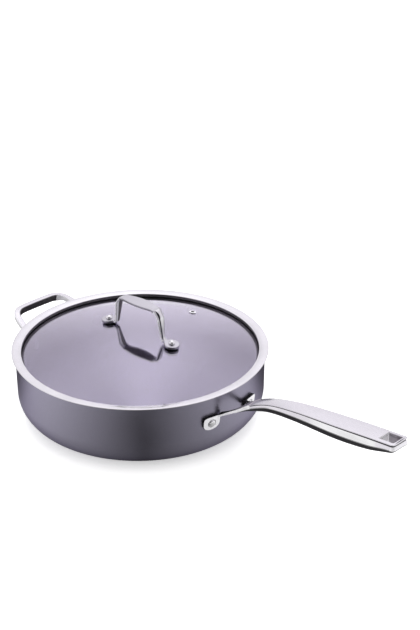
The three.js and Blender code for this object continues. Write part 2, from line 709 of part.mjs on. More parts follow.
// Strap handle: legs that widen upwards, a bar that swells to its middle, and a round foot at each end.
function lidHandle() {
  const { points, barHalf, barHeight, legFoot } = strapLine();
  const outlines = [];
  const rings = points.map((point, i) => {
    const before = points[Math.max(0, i - 1)];
    const after = points[Math.min(points.length - 1, i + 1)];
    const along = after.clone().sub(before).normalize();
    const above = at(-along.y, along.x);
    const swell = LID_BAR_MIDDLE_WIDTH - LID_BAR_END_WIDTH;
    const barWidth = LID_BAR_END_WIDTH + swell * (1 - (point.x / barHalf) ** 2);
    const upLeg = THREE.MathUtils.clamp((point.y - legFoot) / (barHeight - legFoot), 0, 1);
    const legWidth = THREE.MathUtils.lerp(LID_LEG_FOOT_WIDTH, LID_LEG_TOP_WIDTH, upLeg);
    const width = point.y > barHeight ? barWidth : legWidth;
    const outline = bevelled(width / 2, LID_STRAP_THICKNESS / 2, LID_STRAP_BEVEL);
    outlines.push(outline);
    return outline.map((p) => new THREE.Vector3(point.x + above.x * p.y, p.x, point.y + above.y * p.y));
  });
  const foot = bar(LID_FOOT_DIAMETER, footBase, footTop);
  const bore = bar(LID_RIVET_SHANK + 2 * BORE_PLAY, footBase - CUT_REACH, footTop + LID_STRAP_THICKNESS);
  let handle = solidOf(lofted(rings, outlines[0], outlines[outlines.length - 1]));
  for (const matrix of footPlaces) handle = handle.add(solidOf(placed(foot, matrix)));
  const under = bar(2 * LID_FOOT_DIAMETER, footBase - LID_STRAP_THICKNESS, footBase);
  const over = bar(LID_RIVET_SEAT, footTop, footTop + LID_STRAP_THICKNESS);
  for (const matrix of footPlaces) {
    handle = handle.subtract(solidOf(placed(bore, matrix)));
    handle = handle.subtract(solidOf(placed(under, matrix)));
    handle = handle.subtract(solidOf(placed(over, matrix)));
  }
  return geometryOf(handle);
}

// Steel eyelet with a flange on each side of the glass.
function ventEyelet() {
  const flange = VENT_FLANGE / 2;
  const tube = VENT_TUBE / 2;
  const bore = VENT_BORE / 2;
  const above = GAP;
  const below = -GLASS_THICKNESS - GAP;
  return turnedRing(
    [
      at(bore, below - VENT_FLANGE_RISE),
      at(flange, below - VENT_FLANGE_RISE),
      at(flange, below),
      at(tube, below),
      at(tube, above),
      at(flange, above),
      at(flange - VENT_FLANGE_RISE / 2, above + VENT_FLANGE_RISE),
      at(bore, above + VENT_FLANGE_RISE),
    ],
    SMALL_STEPS,
  );
}

// Finishes
const anodised = finish(0x5d5a66, 0.42, 0.75);
const steel = finish(0xd6d4dc, 0.28, 1);
const polishedSteel = finish(0xe4e2ea, 0.14, 1);
const baseSteel = finish(0xb9b8bc, 0.4, 1);
const clearGlass = finish(0xd9dbe2, 0.04, 0);
const darkSilicone = finish(0x211f24, 0.7, 0);

const product = new THREE.Group();
product.name = "deep_frying_pan_with_lid";

// The pan, its handles and their rivets
const pan = new THREE.Group();
product.add(pan);
const rivetAngles = {
  long_handle_rivet_left: -forkAngle,
  long_handle_rivet_right: forkAngle,
  loop_handle_rivet_left: loopAngles[0],
  loop_handle_rivet_right: loopAngles[1],
};
piece(pan, "pan_body", panBody(Object.values(rivetAngles)), anodised);
piece(pan, "base_disc", baseDisc(), baseSteel);
piece(pan, "long_handle_shell", handleShell(), polishedSteel);
piece(pan, "long_handle_cover", handleCover(), steel);
piece(pan, "loop_handle", loopHandle(), steel);
for (const [name, angle] of Object.entries(rivetAngles)) {
  piece(pan, name, wallRivet(), polishedSteel).applyMatrix4(ontoWall(angle));
}

// The lid, turned a little on its seat
const lid = new THREE.Group();
lid.rotation.z = THREE.MathUtils.degToRad(LID_TURN);
product.add(lid);
const fixings = { front: 0, rear: Math.PI };
const footPlaces = Object.values(fixings).map((angle) => ontoGlass(LID_RIVET_SPACING / 2, angle));
const ventPlace = ontoGlass(VENT_RADIUS, Math.PI / 2);
piece(lid, "lid_glass", lidGlass(), clearGlass);
piece(lid, "lid_rim", lidRim(), polishedSteel);
piece(lid, "lid_rim_seal", rimSeal(), darkSilicone);
piece(lid, "lid_handle", lidHandle(), steel);
piece(lid, "vent_eyelet", ventEyelet(), polishedSteel).applyMatrix4(ventPlace);

// Each fixing's stack, from the glass out and from the glass in
const washerBore = LID_RIVET_SHANK + 2 * BORE_PLAY;
const backingTop = -GLASS_THICKNESS - GAP;
const plateUpper = backingTop - BACKING_WASHER_THICKNESS - GAP;
const plateLower = plateUpper - BACKING_PLATE_THICKNESS;
Object.keys(fixings).forEach((end, i) => {
  const fixing = new THREE.Group();
  fixing.applyMatrix4(footPlaces[i]);
  lid.add(fixing);
  const footWasher = washer(FOOT_WASHER_DIAMETER, washerBore, GAP, FOOT_WASHER_THICKNESS);
  const backingBottom = backingTop - BACKING_WASHER_THICKNESS;
  const backingWasher = washer(BACKING_WASHER_DIAMETER, washerBore, backingBottom, BACKING_WASHER_THICKNESS);
  const backingPlate = washer(BACKING_PLATE_DIAMETER, washerBore, plateLower, BACKING_PLATE_THICKNESS);
  const lidRivet = rivet(
    LID_RIVET_HEAD, LID_RIVET_HEAD_RISE, footTop + GAP, LID_RIVET_SHANK,
    LID_RIVET_TAIL, LID_RIVET_TAIL_RISE, plateLower - GAP,
  );
  piece(fixing, `lid_handle_rivet_${end}`, lidRivet, polishedSteel);
  piece(fixing, `lid_foot_washer_${end}`, footWasher, darkSilicone);
  piece(fixing, `lid_backing_washer_${end}`, backingWasher, darkSilicone);
  piece(fixing, `lid_backing_plate_${end}`, backingPlate, steel);
});

export default product;
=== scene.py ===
"""Looks of the deep frying pan with its glass lid: fine meshes, finishes, light and camera.

Sizes are in millimetres, in the frame of the CAD part, and become metres where a mesh is made.
"""
from math import asin, cos, hypot, pi, radians, sin, sqrt

import bpy
from mathutils import Matrix, Vector


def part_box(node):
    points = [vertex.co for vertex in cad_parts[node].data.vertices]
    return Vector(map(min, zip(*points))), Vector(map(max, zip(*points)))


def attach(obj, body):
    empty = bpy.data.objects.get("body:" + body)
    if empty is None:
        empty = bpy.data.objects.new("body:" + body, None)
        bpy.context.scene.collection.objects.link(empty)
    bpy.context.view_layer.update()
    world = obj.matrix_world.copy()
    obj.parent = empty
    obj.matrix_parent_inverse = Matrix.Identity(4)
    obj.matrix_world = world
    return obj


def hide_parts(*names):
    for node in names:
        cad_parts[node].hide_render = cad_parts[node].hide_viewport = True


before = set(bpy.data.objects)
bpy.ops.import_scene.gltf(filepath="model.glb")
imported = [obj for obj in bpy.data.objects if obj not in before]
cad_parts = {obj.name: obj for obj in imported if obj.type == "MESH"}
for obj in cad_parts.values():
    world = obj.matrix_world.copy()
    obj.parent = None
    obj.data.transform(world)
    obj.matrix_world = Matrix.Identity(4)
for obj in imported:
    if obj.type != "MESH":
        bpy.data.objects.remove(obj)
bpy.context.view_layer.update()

MM = 0.001


def far_corner(node):
    """Highest corner of a CAD node's box, in millimetres."""
    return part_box(node)[1] / MM


# Pan, from the frame where it gives the size
pan_corner = far_corner("pan_body")
LIP_RADIUS = pan_corner.x
PAN_HEIGHT = pan_corner.z
PAN_WALL = 2.5
PAN_FLOOR = 4.5
PAN_CORNER = 33.0
PAN_FLARE = 0.7
INSIDE_RADIUS = LIP_RADIUS - PAN_WALL
SHOULDER_RADIUS = LIP_RADIUS - PAN_FLARE
CORNER_CENTRE = SHOULDER_RADIUS - PAN_CORNER
WALL_TOP = PAN_HEIGHT - 1.0
LIP_FOOT = PAN_HEIGHT - 3.0
LIP_TAPER = 0.02
LIP_EASE = 0.8
FLOOR_RINGS = (0.6, 0.3, 0)
# Heights over which a face belongs to the floor, and to the inside if it faces the axis
FLOOR_FROM = PAN_FLOOR * 0.8
INSIDE_FROM = PAN_CORNER * 0.2
disc_corner = far_corner("base_disc")
DISC_RADIUS = disc_corner.x
DISC_THICKNESS = disc_corner.z
DISC_EASE = 0.3
DISC_TOP_EASE = 0.2
RECESS_EASE = 0.25
RECESS_TOP_EASE = 0.1
GAP = 0.3

# Plates and rivets on the wall
PLATE_WIDTH = 21.0
PLATE_HEIGHT = 17.0
PLATE_TOP_THICKNESS = 4.0
PLATE_FOOT_THICKNESS = 1.6
PLATE_ABOVE_RIVET = 8.7
PLATE_ROUNDING = 0.9
PLATE_BACK_EASE = 0.2
# Powers of the curves that round a plate's foot and its top
PLATE_FOOT_POWER = 2.25
PLATE_TOP_POWER = 5.0
# Points round a plate's section, and those of its side and of its front face
PLATE_POINTS = 32
PLATE_SIDE = range(1, 9)
PLATE_FRONT = range(9, 17)
RIVET_HEIGHT = PAN_HEIGHT - 30.4
WALL_RIVET = {"head": 8.5, "head_rise": 2.2, "shank": 6.0, "tail": 12.0, "tail_rise": 1.8}
RIVET_HEAD_EASE = 0.1
RIVET_BRIM = 0.25
RIVET_SEAT = 10.2
RIVET_SEAT_FLOOR = 1.9
SEAT_LIP = 0.05
SEAT_LIP_EASE = 0.35
SEAT_FLOOR_EASE = 0.15
SEAT_BORE_EASE = 0.1
RIVET_TAIL_GAP = 0.6
RIVET_TAIL_EASE = 0.15
RIVET_TAIL_DOME = 0.9
WALL_AT_RIVET = SHOULDER_RADIUS + PAN_FLARE * (RIVET_HEIGHT - PAN_CORNER) / (PAN_HEIGHT - PAN_CORNER)
FORK_HALF_SPACING = 30.0
FORK_ANGLE = asin(FORK_HALF_SPACING / WALL_AT_RIVET)
LOOP_HALF_SPACING = 48.5
LOOP_ANGLE = asin(LOOP_HALF_SPACING / WALL_AT_RIVET)
LOOP_TURN = radians(-1.7)
LOOP_LEFT = pi + LOOP_TURN + LOOP_ANGLE
LOOP_RIGHT = pi + LOOP_TURN - LOOP_ANGLE

# Long handle
TAIL_X = far_corner("long_handle_shell").x
NECK_X = WALL_AT_RIVET + 34.5
FORK_HALF = 26.0
FORK_GAP_HALF = 16.0
FORK_GAP_DEPTH = 17.0
FORK_THICKNESS = 3.3
# The grip starts a hair before the legs end
GRIP_START = WALL_AT_RIVET + FORK_GAP_DEPTH - 0.02
LEG_START = 0.6
LEG_FACE_LEAN = 1.3
LEG_TOP_LEAN = 1.0
LEG_INNER_LEAN = 0.8
LEG_INNER_EASE = 0.7
LEG_OUTER_EASE = 0.5
HANDLE_RISE = 60.5
HANDLE_WIDTH = 27.0
HANDLE_SIDE = 10.2
HANDLE_DEPTH = 16.2
UNDERSIDE_DROP = 1.2
TAIL_CORNER = 5.0
LEAST_HALF = 0.05
SHELF_AT_NECK = 2.3
SHELF_AT_TAIL = 3.5
SIDE_LEAN = 1.6
NECK_LEAN = 0.4
# Rings of the shell's underside: inset as a share of the half width, share of the drop, and rise
SHELL_UNDER = ((0.42, 1.0, 0.0), (0.2, 0.55, 0.0), (0.1, 0.0, -0.05), (0.045, 0.0, 0.9))
# Rings of its side: share of the lean, inset, and rise over the side's lower edge
SHELL_SIDE = ((0.0, 0.35, -0.35), (0.0, 0.08, 0.05), (0.0, 0.0, 0.5), (0.05, 0.0, 0.8))
# Rings of its upper edge: inset past the lean, and rise over the shelf
SHELL_EDGE = ((0.0, -0.45), (0.12, -0.12), (0.5, 0.0), (1.6, 0.0))
COVER_EDGE = 1.7
COVER_CROWN = 0.9
COVER_INSET = 1.0
COVER_STEP = 1.7
COVER_FOOT = 0.2
GROOVE_EASE = 0.15
GROOVE_RINGS = 3
# Rings of the cover's edge and of its top: further inset, and rise over the edge and over the crown's foot
COVER_ROUND = ((0.3, 0.0), (0.08, 0.12), (0.0, 0.35))
COVER_TOP = ((0.1, -0.1), (0.35, 0.12), (0.8, 0.22), (1.5, 0.28))
HOLE_END_X = TAIL_X - 4.6
HOLE_START_X = HOLE_END_X - 18.4
HOLE_HALF = 8.2
HOLE_CORNER = 1.6
HOLE_LEAST_CORNER = 1.0
HOLE_LIP = 1.1
HOLE_LIP_TURNS = (0.4, 0.8, 1.2)
HOLE_WALL_FROM = 1.5
HOLE_START_EASE = 3.0
HOLE_DRAFT = 0.1
HOLE_REACH = 18.0
HOLE_ABOVE = 30.0
# Places of the hole's two finishes in the lists of the shell and the cover: painted shade on its walls,
# painted light on its end towards the neck
HOLE_WALL_PLACE = 2
HOLE_END_PLACE = 3
# Shares of the length from the neck to the tail, and of the handle's rise, width, side and depth
STATIONS = [
    (-0.175, 0.138, 0.889, 0.3, 0.246),
    (-0.074, 0.299, 0.837, 0.33, 0.254),
    (0.0, 0.467, 0.785, 0.49, 0.478),
    (0.128, 0.646, 0.733, 0.51, 0.612),
    (0.317, 0.774, 0.852, 0.696, 0.776),
    (0.624, 0.886, 1.0, 1.0, 1.0),
    (0.829, 0.953, 1.0, 1.0, 0.94),
    (0.941, 0.985, 1.0, 0.735, 0.701),
    (1.0, 1.0, 1.0, 0.686, 0.56),
]

# Loop handle
LOOP_BAR_X = -WALL_AT_RIVET - 43.49
LOOP_BAR_Z = RIVET_HEIGHT + 22.0
LOOP_BAR_HALF = 35.5
LOOP_BAR_BOW = 1.0
LOOP_BEND = 15.0
LOOP_ROOT = 2.0
LOOP_ROD_WIDTH = 7.5
LOOP_ROD_HEIGHT = 6.6
LOOP_ROD_ROUNDING = 1.7
# The bar is deeper: by how much, and from which share of a run along Y, over which span
LOOP_BAR_DROP = 2.2
LOOP_DROP_FROM = 0.4
LOOP_DROP_SPAN = 0.5

# Lid
LID_TURN = radians(3.0)
GLASS_THICKNESS = 4.0
GLASS_RISE = 23.5
GLASS_BELOW_LIP = 3.8
RIM_SHEET = 0.9
RIM_INSET = 4.3
RIM_CROWN = 0.35
RIM_DISH = 1.0
# Share of the rim's width that rounds into its mouth, and the mouth's drop and rounding
RIM_MOUTH = 0.07
RIM_MOUTH_DROP = 0.05
RIM_MOUTH_EASE = 0.7
RIM_BAND_DEPTH = 0.5
SKIRT_EASE = 0.6
SKIRT_END_EASE = 0.3
CHANNEL_EASE = 0.2
SEAL_THICKNESS = 0.6
SEAL_EASE = 0.15
RIM_INNER = INSIDE_RADIUS - RIM_INSET
RIM_OUTER = far_corner("lid_rim").y
RIM_UNDERSIDE = PAN_HEIGHT + GAP
RIM_TOP = RIM_UNDERSIDE + RIM_SHEET
SKIRT_RADIUS = INSIDE_RADIUS - 1.0
CHANNEL_RADIUS = SKIRT_RADIUS - RIM_SHEET
GLASS_RADIUS = CHANNEL_RADIUS - 2 * GAP - SEAL_THICKNESS
GLASS_EDGE = PAN_HEIGHT - GLASS_BELOW_LIP
DOME_RADIUS = (GLASS_RADIUS**2 + GLASS_RISE**2) / (2 * GLASS_RISE)
DOME_CENTRE = GLASS_EDGE + GLASS_RISE - DOME_RADIUS

# Lid handle, its fixings and the vent. Rings are given by diameter, thickness and ease
FOOT_RADIUS_OUT = 47.8
FOOT_DIAMETER = 17.6
FOOT_THICKNESS = 2.6
FOOT_WASHER = (14.0, 1.0, 0.5)
BACKING_WASHER = (15.0, 1.0, 0.3)
BACKING_PLATE = (13.0, 1.0, 0.3)
TIP_WIDTH = 0.4
LEG_INSET = 12.6
LEG_LEAN = 4.2
LEG_TOP_WIDTH = 11.0
LEG_FOOT_WIDTH = 6.4
BAR_RISE = 38.7
BAR_ARCH = 1.2
BAR_END_WIDTH = 11.6
BAR_MIDDLE_WIDTH = 17.0
# Height over which a face of the strap belongs to the bar
BAR_FROM = far_corner("lid_handle").z - 10
STRAP_THICKNESS = 3.0
STRAP_ROUNDING = 0.9
STRAP_FLANGE = 1.9
# Most of a narrow strap's width that one rounding takes, and share of it at the outer edge
STRAP_ROUND_SHARE = 0.45
FLANGE_ROUND_SHARE = 0.7
# Share of a narrow strap's half width that flange and step take
STEP_ROOM = 0.7
STEP_SLOPE = 0.2
STEP_FOOT_EASE = 0.05
STEP_TOP_EASE = 0.25
STEP_ON_LEG = 1.0
STEP_AT_BEND = 1.7
STEP_SEEN = STEP_ON_LEG * 0.3
# Share of the upper bend over which the step grows, and over which it then goes
STEP_GROWTH = 0.4
# Share of the half width at which a leg's underside turns from painted light to painted shade
UNDER_SPLIT = 0.2
KNEE_BEND = 4.0
TOP_BEND = 10.0
LID_RIVET = {"head": 7.2, "head_rise": 3.6, "shank": 4.2, "tail": 7.4, "tail_rise": 1.5}
FOOT_BASE = 2 * GAP + FOOT_WASHER[1]
FOOT_TOP = FOOT_BASE + FOOT_THICKNESS
VENT_OUT = 91.0
VENT_FLANGE = 8.4
VENT_RISE = 0.8
VENT_TUBE = 6.0
VENT_BORE = 3.6
VENT_TOP_EASE = 0.6
VENT_UNDER_EASE = 0.4
VENT_SEAT_EASE = 0.1

# Fineness and shading of the meshes
ROUND_STEPS = 256
SMALL_STEPS = 48
PLATE_STEPS = 96
EASE_STEPS = 5
# Most of a side that one eased corner takes
EASE_MOST = 0.49
CORNER_STEPS = 24
INNER_CORNER_STEPS = 20
WALL_STEPS = 6
INSIDE_STEPS = 4
DOME_STEPS = 10
GRIP_STEPS = 90
TAIL_STEPS = 14
CAP_ROWS = 8
HOLE_STEPS = 10
LEG_STEPS = 28
ROD_STEPS = 12
BEND_STEPS = 16
GLASS_STEPS = 40
EDGE_STEPS = 12
CROWN_STEPS = 10
TIP_STEPS = 19
KNEE_STEPS = 8
STRAP_LEG_STEPS = 10
BAR_STEPS = 14
SHARP_ANGLE = radians(34.0)
NORMAL_WEIGHT = 60
# Parts of a face's normal from which it counts as facing a way
FACING_PARTLY = 0.4
FACING = 0.5
FACING_WELL = 0.6
FACING_MOSTLY = 0.7


def smooth(share):
    """Eases a share from 0 to 1."""
    share = min(1.0, max(0.0, share))
    return share * share * (3 - 2 * share)


def arc(cx, cy, rx, ry, start, end, steps):
    """Points of an arc, with angles in degrees."""
    angles = [radians(start + (end - start) * i / steps) for i in range(steps + 1)]
    return [(cx + rx * cos(a), cy + ry * sin(a)) for a in angles]


def shares(steps):
    """Shares of a run from 0 to 1 in equal steps."""
    return [k / steps for k in range(steps + 1)]


def curve(a, b, c, steps):
    """Points of a bend from a to c that turns towards b."""
    return [a * (1 - t) ** 2 + b * 2 * t * (1 - t) + c * t * t for t in shares(steps)]


def directions(points):
    """Direction of a line at each of its points, from the point before to the point after."""
    pairs = zip([points[0], *points[:-1]], [*points[1:], points[-1]])
    return [(after - before).normalized() for before, after in pairs]


def eased(corners, closed=True):
    """An outline whose corners, given as x, y and reach, are rounded off over that reach along both sides."""
    count = len(corners)
    points = []
    for i, (x, y, reach) in enumerate(corners):
        here = Vector((x, y))
        if reach <= 0 or (not closed and i in (0, count - 1)):
            points.append((x, y))
            continue
        back = Vector(corners[i - 1][:2]) - here
        ahead = Vector(corners[(i + 1) % count][:2]) - here
        start = here + back.normalized() * min(reach, back.length * EASE_MOST)
        end = here + ahead.normalized() * min(reach, ahead.length * EASE_MOST)
        for t in shares(EASE_STEPS):
            p = start * (1 - t) ** 2 + here * (2 * t * (1 - t)) + end * t**2
            points.append((p.x, p.y))
    return points


def revolved(profile, steps):
    """A body turned about Z. A profile that doesn't touch the axis closes on itself."""
    vertices, faces, rows = [], [], []
    for r, z in profile:
        count = steps if r > 0 else 1
        rows.append(range(len(vertices), len(vertices) + count))
        for k in range(count):
            a = 2 * pi * k / steps
            vertices.append(Vector((r * cos(a), r * sin(a), z)))
    pairs = list(zip(rows, rows[1:]))
    if len(rows[0]) > 1 and len(rows[-1]) > 1:
        pairs.append((rows[-1], rows[0]))
    for low, high in pairs:
        for k in range(steps):
            n = (k + 1) % steps
            face = (low[k % len(low)], low[n % len(low)], high[n % len(high)], high[k % len(high)])
            faces.append(tuple(dict.fromkeys(face)))
    return vertices, faces


def lofted(rings, closed=False):
    """A skin over rings of equal count, with its two ends closed unless the rings close on themselves."""
    count = len(rings[0])
    vertices = [p for ring in rings for p in ring]
    faces = []
    spans = len(rings) if closed else len(rings) - 1
    for i in range(spans):
        a = i * count
        b = ((i + 1) % len(rings)) * count
        for j in range(count):
            n = (j + 1) % count
            faces.append((a + j, a + n, b + n, b + j))
    if not closed:
        faces.append(tuple(reversed(range(count))))
        last = (len(rings) - 1) * count
        faces.append(tuple(range(last, last + count)))
    return vertices, faces


def joined(*bodies):
    """Several bodies as one list of vertices and faces."""
    vertices, faces = [], []
    for body_vertices, body_faces in bodies:
        start = len(vertices)
        vertices.extend(body_vertices)
        faces.extend(tuple(i + start for i in face) for face in body_faces)
    return vertices, faces


def placed(body, matrix):
    return [matrix @ v for v in body[0]], body[1]


def add_object(name, data):
    obj = bpy.data.objects.new(name, data)
    bpy.context.scene.collection.objects.link(obj)
    return obj


def make_mesh(name, body, unit=MM):
    """A mesh object from a body in millimetres, or in another unit."""
    mesh = bpy.data.meshes.new(name)
    mesh.from_pydata([v * unit for v in body[0]], [], body[1])
    mesh.update()
    return add_object(name, mesh)


def paint(obj, materials, choose=None):
    """Gives an object its materials, and each face the one whose place in the list is chosen for it."""
    for material in materials:
        obj.data.materials.append(material)
    if choose:
        for face in obj.data.polygons:
            face.material_index = int(choose(face))


def cut(obj, cutter):
    """Takes a closed cutter out of an object and removes the cutter."""
    boolean = obj.modifiers.new("cut", "BOOLEAN")
    boolean.operation = "DIFFERENCE"
    boolean.solver = "EXACT"
    boolean.object = cutter
    graph = bpy.context.evaluated_depsgraph_get()
    result = bpy.data.meshes.new_from_object(obj.evaluated_get(graph))
    obj.modifiers.clear()
    old = obj.data
    name = old.name
    obj.data = result
    bpy.data.meshes.remove(old)
    result.name = name
    bpy.data.objects.remove(cutter)


def dress(obj, body, slot, *nodes):
    """Gives a piece its shading and its body, and hides the CAD nodes that it stands for.

    The shading keeps hard edges and gives large faces the say in the normals.
    """
    mesh = obj.data
    mesh.polygons.foreach_set("use_smooth", [True] * len(mesh.polygons))
    mesh.set_sharp_from_angle(angle=SHARP_ANGLE)
    weighted = obj.modifiers.new("normals", "WEIGHTED_NORMAL")
    weighted.keep_sharp = True
    weighted.weight = NORMAL_WEIGHT
    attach(obj, body)
    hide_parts(*nodes)


def piece(node, shape, materials, body, slot, choose=None):
    """A fine piece in the place of a CAD node."""
    obj = make_mesh(node + "_fine", shape)
    paint(obj, materials, choose)
    dress(obj, body, slot, node)


# Nodes

LEVEL = (1.0, 1.0, 0.0)
NOISE_ROUGHNESS = 0.55
# Span of a texture over which it takes a finish from one end to the other
TEXTURE_SPAN = (0.3, 0.7)


class Tree:
    """Short ways to add nodes to a material or a world."""

    def __init__(self, owner):
        owner.use_nodes = True
        self.nodes = owner.node_tree.nodes
        self.links = owner.node_tree.links

    def feed(self, node, inputs):
        """Sets a node's inputs, given by place or by name, to values or links them to outputs."""
        pairs = inputs.items() if isinstance(inputs, dict) else enumerate(inputs)
        for key, value in pairs:
            if isinstance(value, bpy.types.NodeSocket):
                self.links.new(value, node.inputs[key])
            else:
                node.inputs[key].default_value = value

    def add(self, kind, inputs=()):
        node = self.nodes.new("ShaderNode" + kind)
        self.feed(node, inputs)
        return node

    def maths(self, operation, *values):
        node = self.add("Math", values)
        node.operation = operation
        return node.outputs["Value"]

    def vector(self, operation, *values):
        node = self.add("VectorMath", values)
        node.operation = operation
        return node.outputs["Value" if operation in ("DOT_PRODUCT", "LENGTH") else "Vector"]

    def span(self, value, start, end, low, high, kind="LINEAR"):
        """A number that runs from low to high as a value runs from start to end."""
        node = self.add("MapRange", (value, start, end, low, high))
        node.interpolation_type = kind
        return node.outputs["Result"]

    def colours(self, value, stops, kind="LINEAR"):
        """A colour that runs through stops, each given as a place and a colour."""
        node = self.add("ValToRGB", (value,))
        ramp = node.color_ramp
        ramp.interpolation = kind
        for place, colour in stops:
            ramp.elements.new(place).color = (*colour, 1.0)
        ramp.elements.remove(ramp.elements[0])
        ramp.elements.remove(ramp.elements[-1])
        return node.outputs["Color"]

    def mirrored(self):
        """The ways of light, and 1 for rays that come off or through a clear or shiny face."""
        path = self.add("LightPath").outputs
        return path, self.maths("MAXIMUM", path["Is Glossy Ray"], path["Is Transmission Ray"])

    def show(self, share, first, second):
        """Puts a mix of two shaders on the surface."""
        mix = self.add("MixShader", (share, first.outputs[0], second.outputs[0]))
        self.feed(self.nodes["Material Output"], {"Surface": mix.outputs["Shader"]})


# Finishes


def noise(tree, place, size, detail):
    """Noise by its frequencies per metre along the axes or, where the size is one number, by the spacing of
    turned rings about the Z axis in metres."""
    if isinstance(size, tuple):
        spread = tree.add("Mapping", {"Vector": place, "Scale": size}).outputs["Vector"]
        inputs = {"Vector": spread, "Scale": 1.0, "Detail": detail, "Roughness": NOISE_ROUGHNESS}
        return tree.add("TexNoise", inputs).outputs["Fac"]
    radius = tree.vector("LENGTH", tree.vector("MULTIPLY", place, LEVEL))
    texture = tree.add("TexNoise", {"Scale": 1.0, "Detail": detail})
    texture.noise_dimensions = "1D"
    tree.feed(texture, {"W": tree.maths("DIVIDE", radius, size)})
    return texture.outputs["Fac"]


def finish(name, colour, rough, *bumps, **sockets):
    """A material whose colour, roughness and stacked bumps follow textures in the object's own coordinates.

    Each is given as a texture's size and detail, then two ends or, for a bump, strength and depth in metres.
    """
    material = bpy.data.materials.new(name)
    tree = Tree(material)
    place = tree.add("TexCoord").outputs["Object"]
    textures = {}
    for kind, *_ in (colour, rough, *bumps):
        if kind not in textures:
            textures[kind] = noise(tree, place, *kind)
    inputs = {socket.replace("_", " "): value for socket, value in sockets.items()}
    kind, *ends = colour
    inputs["Base Color"] = tree.colours(textures[kind], zip(TEXTURE_SPAN, ends))
    kind, low, high, *span = rough
    inputs["Roughness"] = tree.span(textures[kind], *(span or TEXTURE_SPAN), low, high)
    normal = {}
    for kind, strength, depth in bumps:
        bump = tree.add("Bump", {"Height": textures[kind], "Strength": strength, "Distance": depth, **normal})
        normal = {"Normal": bump.outputs["Normal"]}
    tree.feed(tree.nodes["Principled BSDF"], {**inputs, **normal})
    return material


def satin(name, low, high):
    """Stainless steel with a brushed grain that runs along X."""
    brush = ((14, 1500, 1500), 3.0)
    cloud = ((45, 60, 60), 2.0)
    bump = (brush, 0.03, 0.00003)
    return finish(name, (brush, low, high), (cloud, 0.22, 0.28), bump, Metallic=1.0, Anisotropic=0.35)


def painted_shade(name, low, high):
    """Dark matt steel as painted shade, put on faces that are meant to look shaded."""
    brush = ((20, 900, 900), 3.0)
    return finish(name, (brush, low, high), (brush, 0.36, 0.46), (brush, 0.1, 0.00004), Metallic=1.0)


# Hard-anodised aluminium: dark, violet-tinted and satin, with a fine grain
grain = ((2600, 2600, 2600), 2.0)
cloud = ((30, 30, 30), 3.0)
ANODISED = finish(
    "anodised_aluminium", (grain, (0.31, 0.294, 0.372), (0.41, 0.389, 0.482)), (cloud, 0.33, 0.38),
    (grain, 0.2, 0.00005), Metallic=1.0, Specular_Tint=(0.42, 0.4, 0.46, 1.0),
)
# Dark non-stick coating of the inside, with faint turned rings under it
grain = ((1800, 1800, 1800), 2.0)
turned = (0.0011, 1.0)
COATING = finish(
    "dark_coating", (grain, (0.04, 0.037, 0.048), (0.058, 0.054, 0.068)), (turned, 0.34, 0.42),
    (turned, 0.12, 0.00004), (grain, 0.1, 0.00003), Specular_IOR_Level=0.2,
)
SATIN = satin("satin_steel", (0.71, 0.7, 0.73), (0.77, 0.76, 0.79))
COVER = satin("cover_steel", (0.685, 0.675, 0.705), (0.745, 0.735, 0.765))
STRAP = satin("strap_steel", (0.52, 0.51, 0.55), (0.58, 0.57, 0.61))
# Polished stainless steel with faint wipe marks
wipe = ((90, 420, 420), 2.0)
cloud = ((40, 40, 40), 2.0)
POLISHED = finish(
    "polished_steel", (cloud, (0.82, 0.815, 0.83), (0.88, 0.875, 0.89)), (wipe, 0.1, 0.17),
    (wipe, 0.03, 0.00003), Metallic=1.0,
)
# Bright bead-blasted steel of the riveted plates, also used as painted light on faces meant to look lit: the
# fork's legs, the loop's faces towards the front, the tail's end, the hole's end, the lid handle's edges and
# the vent
grain = ((1400, 1400, 1400), 2.0)
BLASTED_AND_PAINTED_LIGHT = finish(
    "blasted_and_painted_light_steel", (grain, (0.92, 0.91, 0.94), (0.97, 0.96, 0.99)), (grain, 0.3, 0.38),
    (grain, 0.06, 0.00003), Metallic=0.35,
)
# Polished steel with a fine turned grain round the axis
turned = (0.0006, 2.0)
TURNED = finish(
    "turned_steel", (cloud, (0.71, 0.705, 0.725), (0.77, 0.765, 0.785)), (turned, 0.13, 0.2),
    (turned, 0.04, 0.00003), Metallic=1.0,
)
# Painted shade: near-black steel on the long handle's underside and seam, the cover's groove and the lid
# handle's step walls
PAINTED_SHADE = painted_shade("painted_shade_steel", (0.07, 0.067, 0.075), (0.11, 0.106, 0.115))
# Lighter painted shade: dark grey steel on the rim's band under the glass, the loop bar's inner face and the
# lid handle's undersides
PALE_PAINTED_SHADE = painted_shade("pale_painted_shade_steel", (0.19, 0.18, 0.185), (0.27, 0.255, 0.26))
# Near-black painted shade in the fork's gap, on the plates' sides and in the vent's bore
grain = ((1200, 1200, 1200), 2.0)
GAP_PAINTED_SHADE = finish(
    "gap_painted_shade", (grain, (0.009, 0.008, 0.01), (0.017, 0.016, 0.019)), (grain, 0.5, 0.65),
    (grain, 0.1, 0.00003), Specular_IOR_Level=0.1,
)
# Mid-grey steel as painted shade inside the hanging hole and on the handle's top between the fork and the
# neck
brush = ((300, 300, 60), 3.0)
HOLE_PAINTED_SHADE = finish(
    "hole_painted_shade_steel", (brush, (0.42, 0.395, 0.43), (0.51, 0.48, 0.52)), (brush, 0.3, 0.4),
    (brush, 0.08, 0.00004), Metallic=1.0,
)
# Magnetic steel with coarse turned rings
turned = (0.0009, 2.0)
BASE = finish(
    "base_steel", (turned, (0.42, 0.42, 0.43), (0.55, 0.55, 0.56)), (turned, 0.3, 0.42),
    (turned, 0.25, 0.00008), Metallic=1.0,
)
